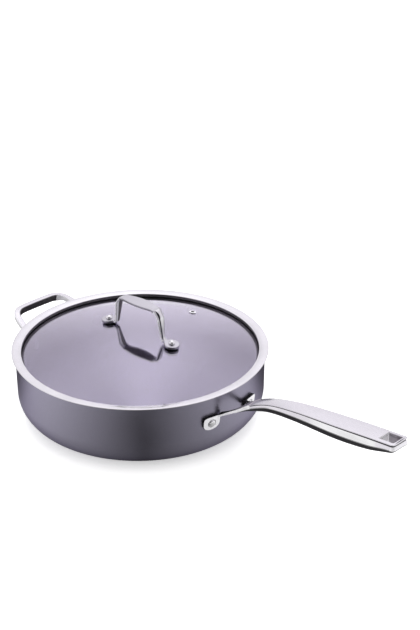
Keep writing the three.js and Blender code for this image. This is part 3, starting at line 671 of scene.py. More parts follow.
# Clear tempered glass with the faintest trace of handling
trace = ((25, 25, 25), 3.0)
GLASS = finish(
    "clear_glass", (trace, (0.93, 0.92, 0.97), (0.97, 0.96, 1.0)), (trace, 0.006, 0.016, 0.45, 0.8),
    Transmission_Weight=1.0, IOR=2.05, Specular_Tint=(1.0, 0.97, 1.1, 1.0),
    Coat_Weight=1.0, Coat_IOR=1.9, Coat_Roughness=0.0, Coat_Tint=(0.96, 0.94, 1.0, 1.0),
)
# Dark matt silicone
grain = ((900, 900, 900), 2.0)
SILICONE = finish(
    "dark_silicone", (grain, (0.011, 0.01, 0.012), (0.02, 0.019, 0.022)), (grain, 0.5, 0.65),
    (grain, 0.15, 0.00005),
)


# Pan


def pan_profile():
    recess = DISC_RADIUS + GAP
    ceiling = DISC_THICKNESS + GAP
    under = [
        (0, ceiling, 0),
        (recess, ceiling, RECESS_TOP_EASE),
        (recess, 0, RECESS_EASE),
        (CORNER_CENTRE, 0, 0),
    ]
    outside = arc(CORNER_CENTRE, PAN_CORNER, PAN_CORNER, PAN_CORNER, -90, 0, CORNER_STEPS)
    height = WALL_TOP - PAN_CORNER
    wall = [(SHOULDER_RADIUS + PAN_FLARE * t, PAN_CORNER + height * t) for t in shares(WALL_STEPS)[1:-1]]
    lip = [
        (LIP_RADIUS - LIP_TAPER, LIP_FOOT, 0),
        (LIP_RADIUS, PAN_HEIGHT, LIP_EASE),
        (INSIDE_RADIUS, PAN_HEIGHT, LIP_EASE),
        (INSIDE_RADIUS, LIP_FOOT, 0),
    ]
    depth = LIP_FOOT - PAN_CORNER
    inside = [(INSIDE_RADIUS - PAN_FLARE * t, LIP_FOOT - depth * t) for t in shares(INSIDE_STEPS)[1:-1]]
    across, up = PAN_CORNER - PAN_WALL, PAN_CORNER - PAN_FLOOR
    corner = arc(CORNER_CENTRE, PAN_CORNER, across, up, 0, -90, INNER_CORNER_STEPS)
    floor = [(CORNER_CENTRE * share, PAN_FLOOR) for share in FLOOR_RINGS]
    return eased(under, False)[:-1] + outside + wall + eased(lip, False) + inside + corner + floor


def make_pan():
    def inside(face):
        """Whether a face is on the inside of the wall, on the floor or in the corner between them."""
        centre = face.center / MM
        radius = hypot(centre.x, centre.y)
        inward = face.normal.x * centre.x + face.normal.y * centre.y < 0
        wall = inward and centre.z > INSIDE_FROM
        floor = centre.z > FLOOR_FROM and radius < CORNER_CENTRE
        in_corner = PAN_FLOOR < centre.z < PAN_CORNER and radius < SHOULDER_RADIUS - PAN_WALL
        return wall or floor or (in_corner and face.normal.z > 0)

    shape = revolved(pan_profile(), ROUND_STEPS)
    piece("pan_body", shape, (ANODISED, COATING), "pan", "anodised_aluminium", inside)


def make_disc():
    top = (DISC_RADIUS, DISC_THICKNESS, DISC_TOP_EASE)
    profile = eased([(0, 0, 0), (DISC_RADIUS, 0, DISC_EASE), top, (0, DISC_THICKNESS, 0)], False)
    piece("base_disc", revolved(profile, ROUND_STEPS), (BASE,), "pan", "base_steel")


def standing(turn, height, tilt, out):
    """Matrix that stands a body built along Z some way out from a point on the axis, tilted and turned."""
    middle = Matrix.Rotation(turn, 4, "Z") @ Matrix.Translation((0, 0, height))
    return middle @ Matrix.Rotation(tilt, 4, "Y") @ Matrix.Translation((0, 0, out))


def rivet(head_base, tail_base, head, head_rise, shank, tail, tail_rise):
    """A domed head, a shank and a flattened tail on one axis."""
    brim = head_rise * RIVET_BRIM
    corners = [
        (0, tail_base - tail_rise, 0),
        (tail / 2, tail_base - tail_rise, tail_rise * RIVET_TAIL_DOME),
        (tail / 2, tail_base, RIVET_TAIL_EASE),
        (shank / 2, tail_base, 0),
        (shank / 2, head_base, 0),
        (head / 2, head_base, RIVET_HEAD_EASE),
        (head / 2, head_base + brim, 0),
    ]
    dome = arc(0, head_base + brim, head / 2, head_rise - brim, 0, 90, DOME_STEPS)[1:-1]
    return revolved(eased(corners, False) + dome + [(0, head_base + head_rise)], SMALL_STEPS)


def plate_reach(angle):
    """Distance from the rivet to the shield's outline. Angle 0 points down, and 90 degrees sideways."""
    down, side = cos(angle), abs(sin(angle))
    if down > 0:
        reach, power = PLATE_HEIGHT - PLATE_ABOVE_RIVET, PLATE_FOOT_POWER
    else:
        reach, power = PLATE_ABOVE_RIVET, PLATE_TOP_POWER
    return 1.0 / ((abs(down) / reach) ** power + (side / (PLATE_WIDTH / 2)) ** power) ** (1 / power)


def shield_plate(angle):
    """Plate round its rivet: back on the wall, rounded front edge, and a round seat for the rivet's head."""
    slope = (PLATE_TOP_THICKNESS - PLATE_FOOT_THICKNESS) / PLATE_HEIGHT
    seat = RIVET_SEAT / 2
    floor = GAP + RIVET_SEAT_FLOOR
    bore = WALL_RIVET["shank"] / 2 + GAP
    rings = []
    for k in range(PLATE_STEPS):
        turn = 2 * pi * k / PLATE_STEPS
        reach = plate_reach(turn)

        def front(distance):
            down = cos(turn) * distance
            return GAP + PLATE_TOP_THICKNESS - slope * (down + PLATE_ABOVE_RIVET)

        corners = [
            (bore, GAP, 0),
            (reach, GAP, PLATE_BACK_EASE),
            (reach, front(reach), PLATE_ROUNDING),
            ((reach + seat) / 2, front((reach + seat) / 2), 0),
            (seat, max(front(seat), floor + SEAT_LIP), SEAT_LIP_EASE),
            (seat, floor, SEAT_FLOOR_EASE),
            (bore, floor, SEAT_BORE_EASE),
        ]
        ring = []
        for distance, out in eased(corners):
            down = cos(turn) * distance
            bearing = angle + sin(turn) * distance / WALL_AT_RIVET
            radius = WALL_AT_RIVET + out
            ring.append(Vector((radius * cos(bearing), radius * sin(bearing), RIVET_HEIGHT - down)))
        rings.append(ring)
    return lofted(rings, closed=True)


# Long handle


def station_value(column, full):
    """A size of the long handle along X, smooth through its stations."""
    xs = [NECK_X + row[0] * (TAIL_X - NECK_X) for row in STATIONS]
    ys = [row[column] * full for row in STATIONS]
    slopes = []
    for i in range(len(xs)):
        a, b = max(0, i - 1), min(len(xs) - 1, i + 1)
        slopes.append((ys[b] - ys[a]) / (xs[b] - xs[a]))

    def value(x):
        x = min(xs[-1], max(xs[0], x))
        i = max(k for k in range(len(xs) - 1) if xs[k] <= x)
        span = xs[i + 1] - xs[i]
        t = (x - xs[i]) / span
        return (
            ys[i] * (1 + 2 * t) * (1 - t) ** 2
            + slopes[i] * span * t * (1 - t) ** 2
            + ys[i + 1] * t * t * (3 - 2 * t)
            - slopes[i + 1] * span * t * t * (1 - t)
        )

    return value


grip_rise = station_value(1, HANDLE_RISE)
grip_width = station_value(2, HANDLE_WIDTH)
grip_side = station_value(3, HANDLE_SIDE)
grip_depth = station_value(4, HANDLE_DEPTH)


def grip_top(x):
    return RIVET_HEIGHT + grip_rise(x)


def fork_half(x):
    """Half width of the fork's plan, which closes in from the plates to the neck."""
    t = (x - WALL_AT_RIVET) / (NECK_X - WALL_AT_RIVET)
    neck = grip_width(NECK_X) / 2
    return neck + (FORK_HALF - neck) * max(0.0, 1 - t) ** 2


def grip_outline(start):
    """Plan of the grip's near side, from a place to the tail: X, half width and outward normal."""
    places = []
    bend = TAIL_X - TAIL_CORNER
    for k in range(GRIP_STEPS + 1):
        x = start + (bend - start) * k / GRIP_STEPS
        places.append((x, grip_width(x) / 2 if x >= NECK_X else fork_half(x)))
    for k in range(1, TAIL_STEPS + 1):
        a = pi / 2 * k / TAIL_STEPS
        x = bend + TAIL_CORNER * sin(a)
        places.append((x, grip_width(x) / 2 - TAIL_CORNER + TAIL_CORNER * cos(a)))
    outline = []
    for i, (x, half) in enumerate(places):
        before, after = places[max(0, i - 1)], places[min(len(places) - 1, i + 1)]
        along = Vector((after[0] - before[0], after[1] - before[1])).normalized()
        normal = Vector((-along.y, along.x))
        if i == len(places) - 1:
            normal = Vector((1, 0))
        elif x < NECK_X:
            normal = Vector((0, 1))
        outline.append((x, half, normal))
    return outline


def slab(outline, section, crown):
    """A body along the grip from rings of inset and height over the top line, closed by a flat cap below and
    a crowned one above."""
    sections = [section(x) for x, _, _ in outline]
    layers = len(sections[0])
    count = len(outline)
    ring = 2 * count
    vertices, faces = [], []
    for layer in range(layers):
        side = []
        for (x, half, normal), rings in zip(outline, sections):
            inset, rise = rings[layer]
            px = x - normal.x * inset
            py = max(LEAST_HALF, half - normal.y * inset)
            side.append(Vector((px, py, grip_top(px) + rise)))
        vertices += side
        vertices += [Vector((p.x, -p.y, p.z)) for p in reversed(side)]
    for i in range(layers - 1):
        for j in range(ring):
            n = (j + 1) % ring
            a, b = i * ring, (i + 1) * ring
            faces.append((a + j, b + j, b + n, a + n))
    for layer in (0, layers - 1):
        rails = []
        for i in range(count):
            left, right = layer * ring + i, (layer + 1) * ring - 1 - i
            rail = [left]
            for t in shares(CAP_ROWS)[1:-1]:
                point = vertices[left].lerp(vertices[right], t)
                if layer > 0:
                    point.z += crown(point.x) * (1 - (2 * t - 1) ** 2)
                rail.append(len(vertices))
                vertices.append(point)
            rails.append(rail + [right])
        for near, far in zip(rails, rails[1:]):
            for r in range(CAP_ROWS):
                face = (near[r], far[r], far[r + 1], near[r + 1])
                faces.append(tuple(reversed(face)) if layer > 0 else face)
    return vertices, faces


def hang_hole_cutter():
    """Upright cutter with round corners that flares into a soft lip at the top face."""
    middle = (HOLE_START_X + HOLE_END_X) / 2
    top = grip_top(middle)
    slope = (grip_top(HOLE_END_X) - grip_top(HOLE_START_X)) / (HOLE_END_X - HOLE_START_X)

    def outline(grow):
        r = max(HOLE_LEAST_CORNER, HOLE_CORNER + grow)
        near = HOLE_START_X - grow * (HOLE_START_EASE if grow > 0 else 1.0) + r
        far = HOLE_END_X + grow - r
        half = HOLE_HALF + grow - r
        corners = ((far, -half, -90), (far, half, 0), (near, half, 90), (near, -half, 180))
        return [p for cx, cy, start in corners for p in arc(cx, cy, r, r, start, start + 90, HOLE_STEPS)]

    levels = [(-HOLE_DRAFT * HOLE_REACH, -HOLE_REACH), (0, -HOLE_LIP)]
    levels += [(HOLE_LIP * (1 - cos(a)), -HOLE_LIP * (1 - sin(a))) for a in HOLE_LIP_TURNS]
    levels += [(HOLE_LIP, 0.0), (HOLE_LIP, HOLE_ABOVE)]
    rings = []
    for grow, rise in levels:
        rings.append([Vector((x, y, top + slope * (x - middle) + rise)) for x, y in outline(grow)])
    cutter = make_mesh("hole_cutter", lofted(rings))
    for face in cutter.data.polygons:
        if face.center.z / MM < top - HOLE_LIP * HOLE_WALL_FROM:
            face.material_index = HOLE_END_PLACE if face.normal.x < -FACING else HOLE_WALL_PLACE
    return cutter


def fork_leg(sign):
    """One leg of the fork: a strap from its plate up to the neck, round the inside of the gap."""
    rings = []
    first = asin(LEG_START / FORK_GAP_DEPTH)
    for k in range(LEG_STEPS + 1):
        t = first + (pi / 2 - first) * k / LEG_STEPS
        x = WALL_AT_RIVET + FORK_GAP_DEPTH * sin(t)
        inner = FORK_GAP_HALF * cos(t)
        outer = fork_half(x)
        top = grip_top(x)
        lean = LEG_TOP_LEAN * (1 - smooth((x - WALL_AT_RIVET) / FORK_GAP_DEPTH))
        corners = [
            (inner, top - FORK_THICKNESS, LEG_INNER_EASE),
            (outer, top - FORK_THICKNESS, LEG_OUTER_EASE),
            (outer - LEG_FACE_LEAN, top - lean, LEG_OUTER_EASE),
            (inner, top + lean * LEG_INNER_LEAN, LEG_INNER_EASE),
        ]
        section = [Vector((x, sign * y, z)) for y, z in eased(corners)]
        rings.append(section if sign > 0 else list(reversed(section)))
    return lofted(rings)


def shelf(x):
    """Depth of the shell's upper edge under the top line: none before the neck, then a seam that widens."""
    if x < NECK_X:
        return 0.0
    return SHELF_AT_NECK + (SHELF_AT_TAIL - SHELF_AT_NECK) * (x - NECK_X) / (TAIL_X - NECK_X)


def shell_section(x):
    """Rings of the shell at a place, from its underside over its side to its upper edge."""
    half, depth, side = grip_width(x) / 2, grip_depth(x), grip_side(x)
    lean = SIDE_LEAN if x >= NECK_X else NECK_LEAN
    drop = UNDERSIDE_DROP * smooth((x - GRIP_START) / (2 * (NECK_X - GRIP_START)))
    rings = [(half * inset, -depth - drop * share + rise) for inset, share, rise in SHELL_UNDER]
    rings += [(lean * share + inset, -side + rise) for share, inset, rise in SHELL_SIDE]
    rings.append((lean / 2, -(side + shelf(x)) / 2))
    return rings + [(lean + inset, -shelf(x) + rise) for inset, rise in SHELL_EDGE]


def shell_crown(x):
    """Rise of the shell's top between the legs and the cover."""
    return COVER_CROWN * smooth((x - GRIP_START) / (NECK_X - GRIP_START)) if x < NECK_X else 0.0


def make_shell():
    outline = grip_outline(GRIP_START)
    ring = 2 * len(outline)
    layers = len(shell_section(NECK_X))

    # Painted shade on the underside, the cap below and the seam's shelf; mid-grey painted shade on the top
    # before the neck; painted light on the tail's end and the sides before the neck
    def shell_face(face):
        x = face.center.x / MM
        under = face.index < len(SHELL_UNDER) * ring
        cap = face.index >= (layers - 1) * ring and face.normal.z < 0
        level = Vector((face.normal.x, face.normal.y)).length < FACING
        if under or cap or (face.index >= (layers - 2) * ring and x > NECK_X and level):
            return 1
        if x < NECK_X and face.normal.z > FACING_WELL:
            return 2
        if x > TAIL_X - TAIL_CORNER or (x < NECK_X and abs(face.normal.y) > FACING_WELL):
            return 3
        return 0

    # Painted shade on the legs' tops and inner faces, painted light on the rest
    def leg_face(face):
        inward = face.normal.y * face.center.y < 0
        return face.normal.z > FACING_WELL or (inward and abs(face.normal.y) > FACING)

    # Painted shade on a plate's side, the bright plate steel with painted light on its front, polished steel
    # in the seat
    def plate_face(face):
        place = face.index % PLATE_POINTS
        if place in PLATE_SIDE:
            return 1
        return 2 if place in PLATE_FRONT else 0

    shell = make_mesh("long_handle_shell_fine", slab(outline, shell_section, shell_crown))
    paint(shell, (POLISHED, PAINTED_SHADE, HOLE_PAINTED_SHADE, BLASTED_AND_PAINTED_LIGHT), shell_face)
    cut(shell, hang_hole_cutter())
    legs = make_mesh("fork_legs", joined(fork_leg(1), fork_leg(-1)))
    paint(legs, (BLASTED_AND_PAINTED_LIGHT, GAP_PAINTED_SHADE), leg_face)
    plates = make_mesh("fork_plates", joined(shield_plate(FORK_ANGLE), shield_plate(-FORK_ANGLE)))
    paint(plates, (POLISHED, GAP_PAINTED_SHADE, BLASTED_AND_PAINTED_LIGHT), plate_face)
    with bpy.context.temp_override(active_object=shell, selected_editable_objects=[shell, legs, plates]):
        bpy.ops.object.join()
    dress(shell, "pan", "polished_steel", "long_handle_shell")


def cover_section(x):
    """Rings of the cover at a place: from the shelf up the groove, round the edge and over the top."""
    rings = [
        (COVER_STEP, -shelf(x) + COVER_FOOT),
        (COVER_STEP, -COVER_EDGE - GROOVE_EASE),
        (COVER_STEP - GROOVE_EASE, -COVER_EDGE),
    ]
    rings += [(COVER_INSET + inset, -COVER_EDGE + rise) for inset, rise in COVER_ROUND]
    return rings + [(COVER_INSET + inset, -COVER_CROWN + rise) for inset, rise in COVER_TOP]


def cover_crown(x):
    """Rise of the cover's middle over the last of its rings, the same all along."""
    return COVER_CROWN - COVER_TOP[-1][1]


def make_cover():
    outline = grip_outline(NECK_X + GAP)
    groove = GROOVE_RINGS * 2 * len(outline)
    cover = make_mesh("long_handle_cover_fine", slab(outline, cover_section, cover_crown))
    # Painted shade in the groove, the cover's satin steel above it
    paint(cover, (COVER, PAINTED_SHADE, HOLE_PAINTED_SHADE, BLASTED_AND_PAINTED_LIGHT), lambda face: face.index < groove)
    cut(cover, hang_hole_cutter())
    dress(cover, "pan", "satin_steel", "long_handle_cover")


# Loop handle


def loop_path():
    """Points of the loop's middle line, from one plate to the other."""
    root_x = -WALL_AT_RIVET * cos(LOOP_ANGLE) - LOOP_ROOT
    root = Vector((root_x, -LOOP_HALF_SPACING, RIVET_HEIGHT + PLATE_ABOVE_RIVET - LOOP_ROD_HEIGHT / 2))
    corner = Vector((LOOP_BAR_X, -LOOP_BAR_HALF, LOOP_BAR_Z))
    out = (corner - root).normalized()
    bend_in = corner - out * LOOP_BEND
    bend_out = corner + Vector((-LOOP_BAR_BOW / 2, LOOP_BEND, 0))
    crest = Vector((bend_out.x - LOOP_BAR_BOW, 0, LOOP_BAR_Z))

    def mirrored(p):
        return Vector((p.x, -p.y, p.z))

    half = [root.lerp(bend_in, t) for t in shares(ROD_STEPS)[:-1]]
    half += curve(bend_in, corner, bend_out, BEND_STEPS)[:-1]
    bar = curve(bend_out, crest, mirrored(bend_out), BEND_STEPS)
    turn = Matrix.Rotation(LOOP_TURN, 3, "Z")
    return [turn @ p for p in half + bar + [mirrored(p) for p in reversed(half)]]


def make_loop_handle():
    points = loop_path()
    half, top = LOOP_ROD_WIDTH / 2, LOOP_ROD_HEIGHT / 2
    rings = []
    for point, along in zip(points, directions(points)):
        across = Vector((0, 0, 1)).cross(along).normalized()
        above = along.cross(across)
        low = -top - LOOP_BAR_DROP * smooth((abs(along.y) - LOOP_DROP_FROM) / LOOP_DROP_SPAN)
        corners = [(half, low), (half, top), (-half, top), (-half, low)]
        section = eased([(x, y, LOOP_ROD_ROUNDING) for x, y in corners])
        rings.append([point + across * x + above * y for x, y in section])
    rod_faces = (len(rings) - 1) * len(rings[0])

    # Lighter painted shade on the bar's face towards the pan, painted light on faces towards the front
    def rod_face(face):
        normal = face.normal
        if face.index >= rod_faces:
            return 0
        if normal.x > FACING and normal.z < FACING and normal.y > -FACING_PARTLY:
            return 1
        return 2 if normal.y < -FACING_PARTLY and normal.z < FACING_MOSTLY else 0

    shape = joined(lofted(rings), shield_plate(LOOP_LEFT), shield_plate(LOOP_RIGHT))
    piece("loop_handle", shape, (SATIN, PALE_PAINTED_SHADE, BLASTED_AND_PAINTED_LIGHT), "pan", "satin_steel", rod_face)


def make_wall_rivets():
    angles = {
        "long_handle_rivet_left": -FORK_ANGLE,
        "long_handle_rivet_right": FORK_ANGLE,
        "loop_handle_rivet_left": LOOP_LEFT,
        "loop_handle_rivet_right": LOOP_RIGHT,
    }
    shape = rivet(2 * GAP + RIVET_SEAT_FLOOR, -PAN_WALL - RIVET_TAIL_GAP, **WALL_RIVET)
    for node, angle in angles.items():
        on_wall = standing(angle, RIVET_HEIGHT, pi / 2, WALL_AT_RIVET)
        piece(node, placed(shape, on_wall), (POLISHED,), "pan", "polished_steel")


# Lid


def glass_outer(radius):
    return DOME_CENTRE + sqrt(DOME_RADIUS**2 - radius**2)


def glass_inner(radius):
    return DOME_CENTRE + sqrt((DOME_RADIUS - GLASS_THICKNESS) ** 2 - radius**2)


def on_glass(radius, angle):
    """Matrix that stands a body built along Z on the glass's outer face."""
    return standing(LID_TURN + angle, DOME_CENTRE, asin(radius / DOME_RADIUS), DOME_RADIUS)


def make_glass():
    radii = [GLASS_RADIUS * k / GLASS_STEPS for k in range(GLASS_STEPS + 1)]
    inner = [(r, glass_inner(r)) for r in radii]
    outer = [(r, glass_outer(r)) for r in reversed(radii)]
    piece("lid_glass", revolved(inner + outer, ROUND_STEPS), (GLASS,), "lid", "clear_glass")


def make_rim():
    lift = 2 * GAP + SEAL_THICKNESS
    channel_top = glass_outer(RIM_INNER) + lift
    channel_bottom = glass_inner(CHANNEL_RADIUS) - lift
    edge = RIM_SHEET / 2
    edge_x, edge_y = RIM_OUTER - edge, RIM_UNDERSIDE + RIM_DISH + edge
    width = edge_x - RIM_INNER
    skirt = [
        (RIM_INNER, channel_bottom - RIM_SHEET, 0),
        (SKIRT_RADIUS, channel_bottom - RIM_SHEET, SKIRT_EASE),
        (SKIRT_RADIUS, RIM_UNDERSIDE, SKIRT_END_EASE),
        (edge_x, edge_y - edge, 0),
    ]
    crown = []
    for t in shares(CROWN_STEPS)[1:-1]:
        rise = RIM_DISH * (1 - t) + RIM_CROWN * (1 - (2 * t - 1) ** 2)
        crown.append((edge_x - width * t * (1 - RIM_MOUTH), RIM_TOP + rise))
    mouth = [
        (RIM_INNER + width * RIM_MOUTH, RIM_TOP, 0),
        (RIM_INNER, RIM_TOP - RIM_MOUTH_DROP, RIM_MOUTH_EASE),
        (RIM_INNER, channel_top, CHANNEL_EASE),
        (CHANNEL_RADIUS, channel_top, 0),
        (CHANNEL_RADIUS, channel_bottom, 0),
        (RIM_INNER, channel_bottom, CHANNEL_EASE),
        (RIM_INNER, channel_bottom - RIM_SHEET, 0),
    ]
    outer = arc(edge_x, edge_y, edge, edge, -90, 90, EDGE_STEPS)[1:]
    profile = eased(skirt, False) + outer + crown + eased(mouth, False)[:-1]

    # Lighter painted shade on the rim's inner band and lower lip below its top
    def in_band(face):
        centre = face.center / MM
        return centre.z < RIM_TOP - RIM_BAND_DEPTH and hypot(centre.x, centre.y) < CHANNEL_RADIUS

    piece("lid_rim", revolved(profile, ROUND_STEPS), (TURNED, PALE_PAINTED_SHADE), "lid", "polished_steel", in_band)


def make_seal():
    inner = GLASS_RADIUS + GAP
    outer = inner + SEAL_THICKNESS
    far = GAP + SEAL_THICKNESS
    lip = RIM_INNER
    profile = [
        (lip, glass_inner(lip) - far),
        (outer, glass_inner(outer) - far),
        (outer, glass_outer(outer) + far),
        (lip, glass_outer(lip) + far),
        (lip, glass_outer(lip) + GAP),
        (inner, glass_outer(inner) + GAP),
        (inner, glass_inner(inner) - GAP),
        (lip, glass_inner(lip) - GAP),
    ]
    shape = revolved(eased([(r, z, SEAL_EASE) for r, z in profile]), ROUND_STEPS)
    piece("lid_rim_seal", shape, (SILICONE,), "lid", "dark_silicone")


def strap_line():
    """Middle line of the lid handle's strap in the XZ plane from tip to tip, with its width at each point and
    how far its middle stands out over its edges."""
    tilt = asin(FOOT_RADIUS_OUT / DOME_RADIUS)
    reach = DOME_RADIUS + FOOT_BASE + FOOT_THICKNESS / 2
    foot = Vector((reach * sin(tilt), DOME_CENTRE + reach * cos(tilt)))
    inward = Vector((-cos(tilt), sin(tilt)))
    knee = foot + inward * LEG_INSET
    corner = Vector((knee.x - LEG_LEAN, foot.y + BAR_RISE - STRAP_THICKNESS))
    up = (corner - knee).normalized()
    knee_in = knee - inward * KNEE_BEND
    knee_out = knee + up * KNEE_BEND
    bend_in = corner - up * TOP_BEND
    bend_out = Vector((corner.x - TOP_BEND, corner.y + BAR_ARCH / 2))
    crest = Vector((0, bend_out.y + BAR_ARCH / 2))
    tip = FOOT_DIAMETER / 2
    knee_from = LEG_INSET - KNEE_BEND

    def foot_width(out):
        """Width of the round foot at a distance out from its middle."""
        return 2 * sqrt(max(0.0, tip**2 - out**2))

    half = []
    for t in shares(TIP_STEPS):
        out = tip * cos(pi * t)
        if out < -knee_from:
            break
        half.append((foot - inward * out, max(TIP_WIDTH, foot_width(out)), 0.0))
    entry = max(LEG_FOOT_WIDTH, foot_width(knee_from))
    for share, point in zip(shares(KNEE_STEPS), curve(knee_in, knee, knee_out, KNEE_STEPS)):
        t = smooth(share)
        half.append((point, entry + (LEG_FOOT_WIDTH - entry) * t, STEP_ON_LEG * t))
    for t in shares(STRAP_LEG_STEPS)[1:]:
        width = LEG_FOOT_WIDTH + (LEG_TOP_WIDTH - LEG_FOOT_WIDTH) * t
        half.append((knee_out.lerp(bend_in, t), width, STEP_ON_LEG))
    for t, point in list(zip(shares(BEND_STEPS), curve(bend_in, corner, bend_out, BEND_STEPS)))[1:]:
        width = LEG_TOP_WIDTH + (BAR_END_WIDTH - LEG_TOP_WIDTH) * smooth(t)
        step = STEP_ON_LEG + (STEP_AT_BEND - STEP_ON_LEG) * smooth(t / STEP_GROWTH)
        half.append((point, width, step * (1 - smooth((t - STEP_GROWTH) / STEP_GROWTH))))
    for t in shares(BAR_STEPS)[1:]:
        point = Vector((bend_out.x * (1 - t), bend_out.y + (crest.y - bend_out.y) * (1 - (1 - t) ** 2)))
        width = BAR_END_WIDTH + (BAR_MIDDLE_WIDTH - BAR_END_WIDTH) * sin(pi / 2 * t)
        half.append((point, width, 0.0))
    return half + [(Vector((-p.x, p.y)), *rest) for p, *rest in reversed(half[:-1])]


def strap_section(width, step):
    """Section of the strap: rounded edges, and an outer face that stands a step over its two edges."""
    half, thick = width / 2, STRAP_THICKNESS / 2
    ease = min(STRAP_ROUNDING, width * STRAP_ROUND_SHARE)
    share = min(1.0, half / (STRAP_FLANGE + STEP_AT_BEND) * STEP_ROOM)
    flange = half - STRAP_FLANGE * share
    foot = flange - step * share
    near = [
        (half, -thick, ease),
        (half, thick - step, ease * FLANGE_ROUND_SHARE),
        (flange, thick - step, STEP_FOOT_EASE),
        (foot, thick - step, STEP_FOOT_EASE),
        (foot - STEP_SLOPE * share, thick, STEP_TOP_EASE * share),
    ]
    split = (-half * UNDER_SPLIT, -thick, 0)
    return eased(near + [(-x, y, reach) for x, y, reach in reversed(near)] + [split])


def make_lid_handle():
    line = strap_line()
    rings = []
    for (point, width, step), along in zip(line, directions([point for point, *_ in line])):
        above = Vector((along.y, -along.x))
        section = strap_section(width, step)
        rings.append([Vector((point.x + above.x * h, w, point.y + above.y * h)) for w, h in section])
    count = len(rings[0])
    last = count - 1
    corner = EASE_STEPS + 1
    half_corner = corner // 2

    def both(part):
        """A run of a section's faces and its mirror image."""
        return {*part, *range(last - part.stop, last - part.start)}

    slope = range(3 * corner, 4 * corner + half_corner)
    edges = both(range(half_corner, corner + half_corner))
    # Place of the finish of each face round a leg: underside split into painted light and lighter painted
    # shade, middle in the lighter satin as painted light, edges as painted highlight, and slopes of the step
    # as painted shade
    on_leg = {last - 1: 2, last: 4}
    on_leg.update(dict.fromkeys(range(slope.stop, last - slope.stop), 3))
    on_leg.update(dict.fromkeys(edges, 2))
    on_leg.update(dict.fromkeys(both(slope), 1))
    # The bar's underside and lower edges take the lighter painted shade
    under = {*range(corner), *range(last - corner, count)}

    def strap_face(face):
        ring, place = divmod(face.index, count)
        if ring >= len(line) - 1:
            return 0
        step = line[ring][2]
        if step > STEP_SEEN:
            return on_leg.get(place, 0)
        return 4 if step == 0 and face.center.z / MM > BAR_FROM and place in under else 0

    shape = placed(lofted(rings), Matrix.Rotation(LID_TURN, 4, "Z"))
    piece("lid_handle", shape, (STRAP, PAINTED_SHADE, BLASTED_AND_PAINTED_LIGHT, SATIN, PALE_PAINTED_SHADE), "lid", "satin_steel", strap_face)


def flat_ring(size, bottom):
    """A ring round a lid rivet's shank, from its diameter, thickness and ease."""
    diameter, thickness, ease = size
    bore = LID_RIVET["shank"] + 2 * GAP
    top = bottom + thickness
    corners = [(bore, bottom), (diameter, bottom), (diameter, top), (bore, top)]
    return revolved(eased([(across / 2, z, ease) for across, z in corners]), SMALL_STEPS)


def make_fixings():
    """Each foot's stack: washer under the foot, washer and plate under the glass, and rivet."""
    backing = -GLASS_THICKNESS - GAP - BACKING_WASHER[1]
    plate = backing - GAP - BACKING_PLATE[1]
    stack = (
        ("lid_foot_washer_", flat_ring(FOOT_WASHER, GAP), SILICONE, "dark_silicone"),
        ("lid_backing_washer_", flat_ring(BACKING_WASHER, backing), SILICONE, "dark_silicone"),
        ("lid_backing_plate_", flat_ring(BACKING_PLATE, plate), SATIN, "satin_steel"),
        ("lid_handle_rivet_", rivet(FOOT_TOP + GAP, plate - GAP, **LID_RIVET), POLISHED, "polished_steel"),
    )
    for end, angle in (("front", 0.0), ("rear", pi)):
        for stem, shape, material, slot in stack:
            piece(stem + end, placed(shape, on_glass(FOOT_RADIUS_OUT, angle)), (material,), "lid", slot)


def make_vent():
    flange, tube, bore = VENT_FLANGE / 2, VENT_TUBE / 2, VENT_BORE / 2
    above, below = GAP, -GLASS_THICKNESS - GAP
    profile = eased([
        (bore, below - VENT_RISE, VENT_UNDER_EASE),
        (flange, below - VENT_RISE, VENT_UNDER_EASE),
        (flange, below, VENT_SEAT_EASE),
        (tube, below, 0),
        (tube, above, 0),
        (flange, above, VENT_SEAT_EASE),
        (flange, above + VENT_RISE, VENT_TOP_EASE),
        (bore, above + VENT_RISE, VENT_TOP_EASE),
    ])
    bore_from = (len(profile) - 1 - EASE_STEPS) * SMALL_STEPS

    # Painted shade in the bore, the flange in painted light
    def in_bore(face):
        return face.index >= bore_from

    shape = placed(revolved(profile, SMALL_STEPS), on_glass(VENT_OUT, pi / 2))
    piece("vent_eyelet", shape, (BLASTED_AND_PAINTED_LIGHT, GAP_PAINTED_SHADE), "lid", "polished_steel", in_bore)


make_pan()
make_disc()
make_shell()
make_cover()
make_loop_handle()
make_wall_rivets()
make_glass()
make_rim()
make_seal()
make_lid_handle()
make_fixings()
make_vent()


# Stage: camera, floor, world and lights, in metres

VIEW_FROM = Vector((1.2182, -1.1704, 0.975))
VIEW_ALONG = Vector((-0.6135, 0.6477, -0.4518))
VIEW_BACK = Vector((VIEW_ALONG.x, VIEW_ALONG.y, 0)).normalized()
VIEW_LENS = 95.51
FLOOR_HALF = 6.0
FLOOR_COLOUR = (0.93, 0.93, 0.93, 1)
FLOOR_ROUGHNESS = 0.9
FLOOR_GLOW = 0.62
FLOOR_LIFT = 0.45
WORLD_LIGHT = 0.95
BACK_RISE = 0.8
# Brightness in reflections, from in front of the pan (0) to behind it (1)
WORLD_GLOW = ((0.001, 0.86), (0.42, 0.88), (0.78, 0.92), (0.999, 1.14))
GLOW_TINT = (0.975, 0.945, 1.0)
# Share of it that is left, by the angle round the pan from straight behind it in half turns
SIDE_GLOW = ((0.001, 1.0), (0.12, 0.74), (0.25, 0.78), (0.45, 1.0))
# Glow high up behind the pan: its direction's rise, added level, and where it is full and gone
OVERHEAD_RISE = radians(68.0)
OVERHEAD_LEVEL = 0.36
OVERHEAD_INNER = cos(radians(8.0))
OVERHEAD_OUTER = cos(radians(44.0))
# Dark of the room behind the camera: share taken, and where it is full and gone
ROOM_DARK = 0.85
ROOM_INNER = cos(radians(26.0))
ROOM_OUTER = cos(radians(62.0))
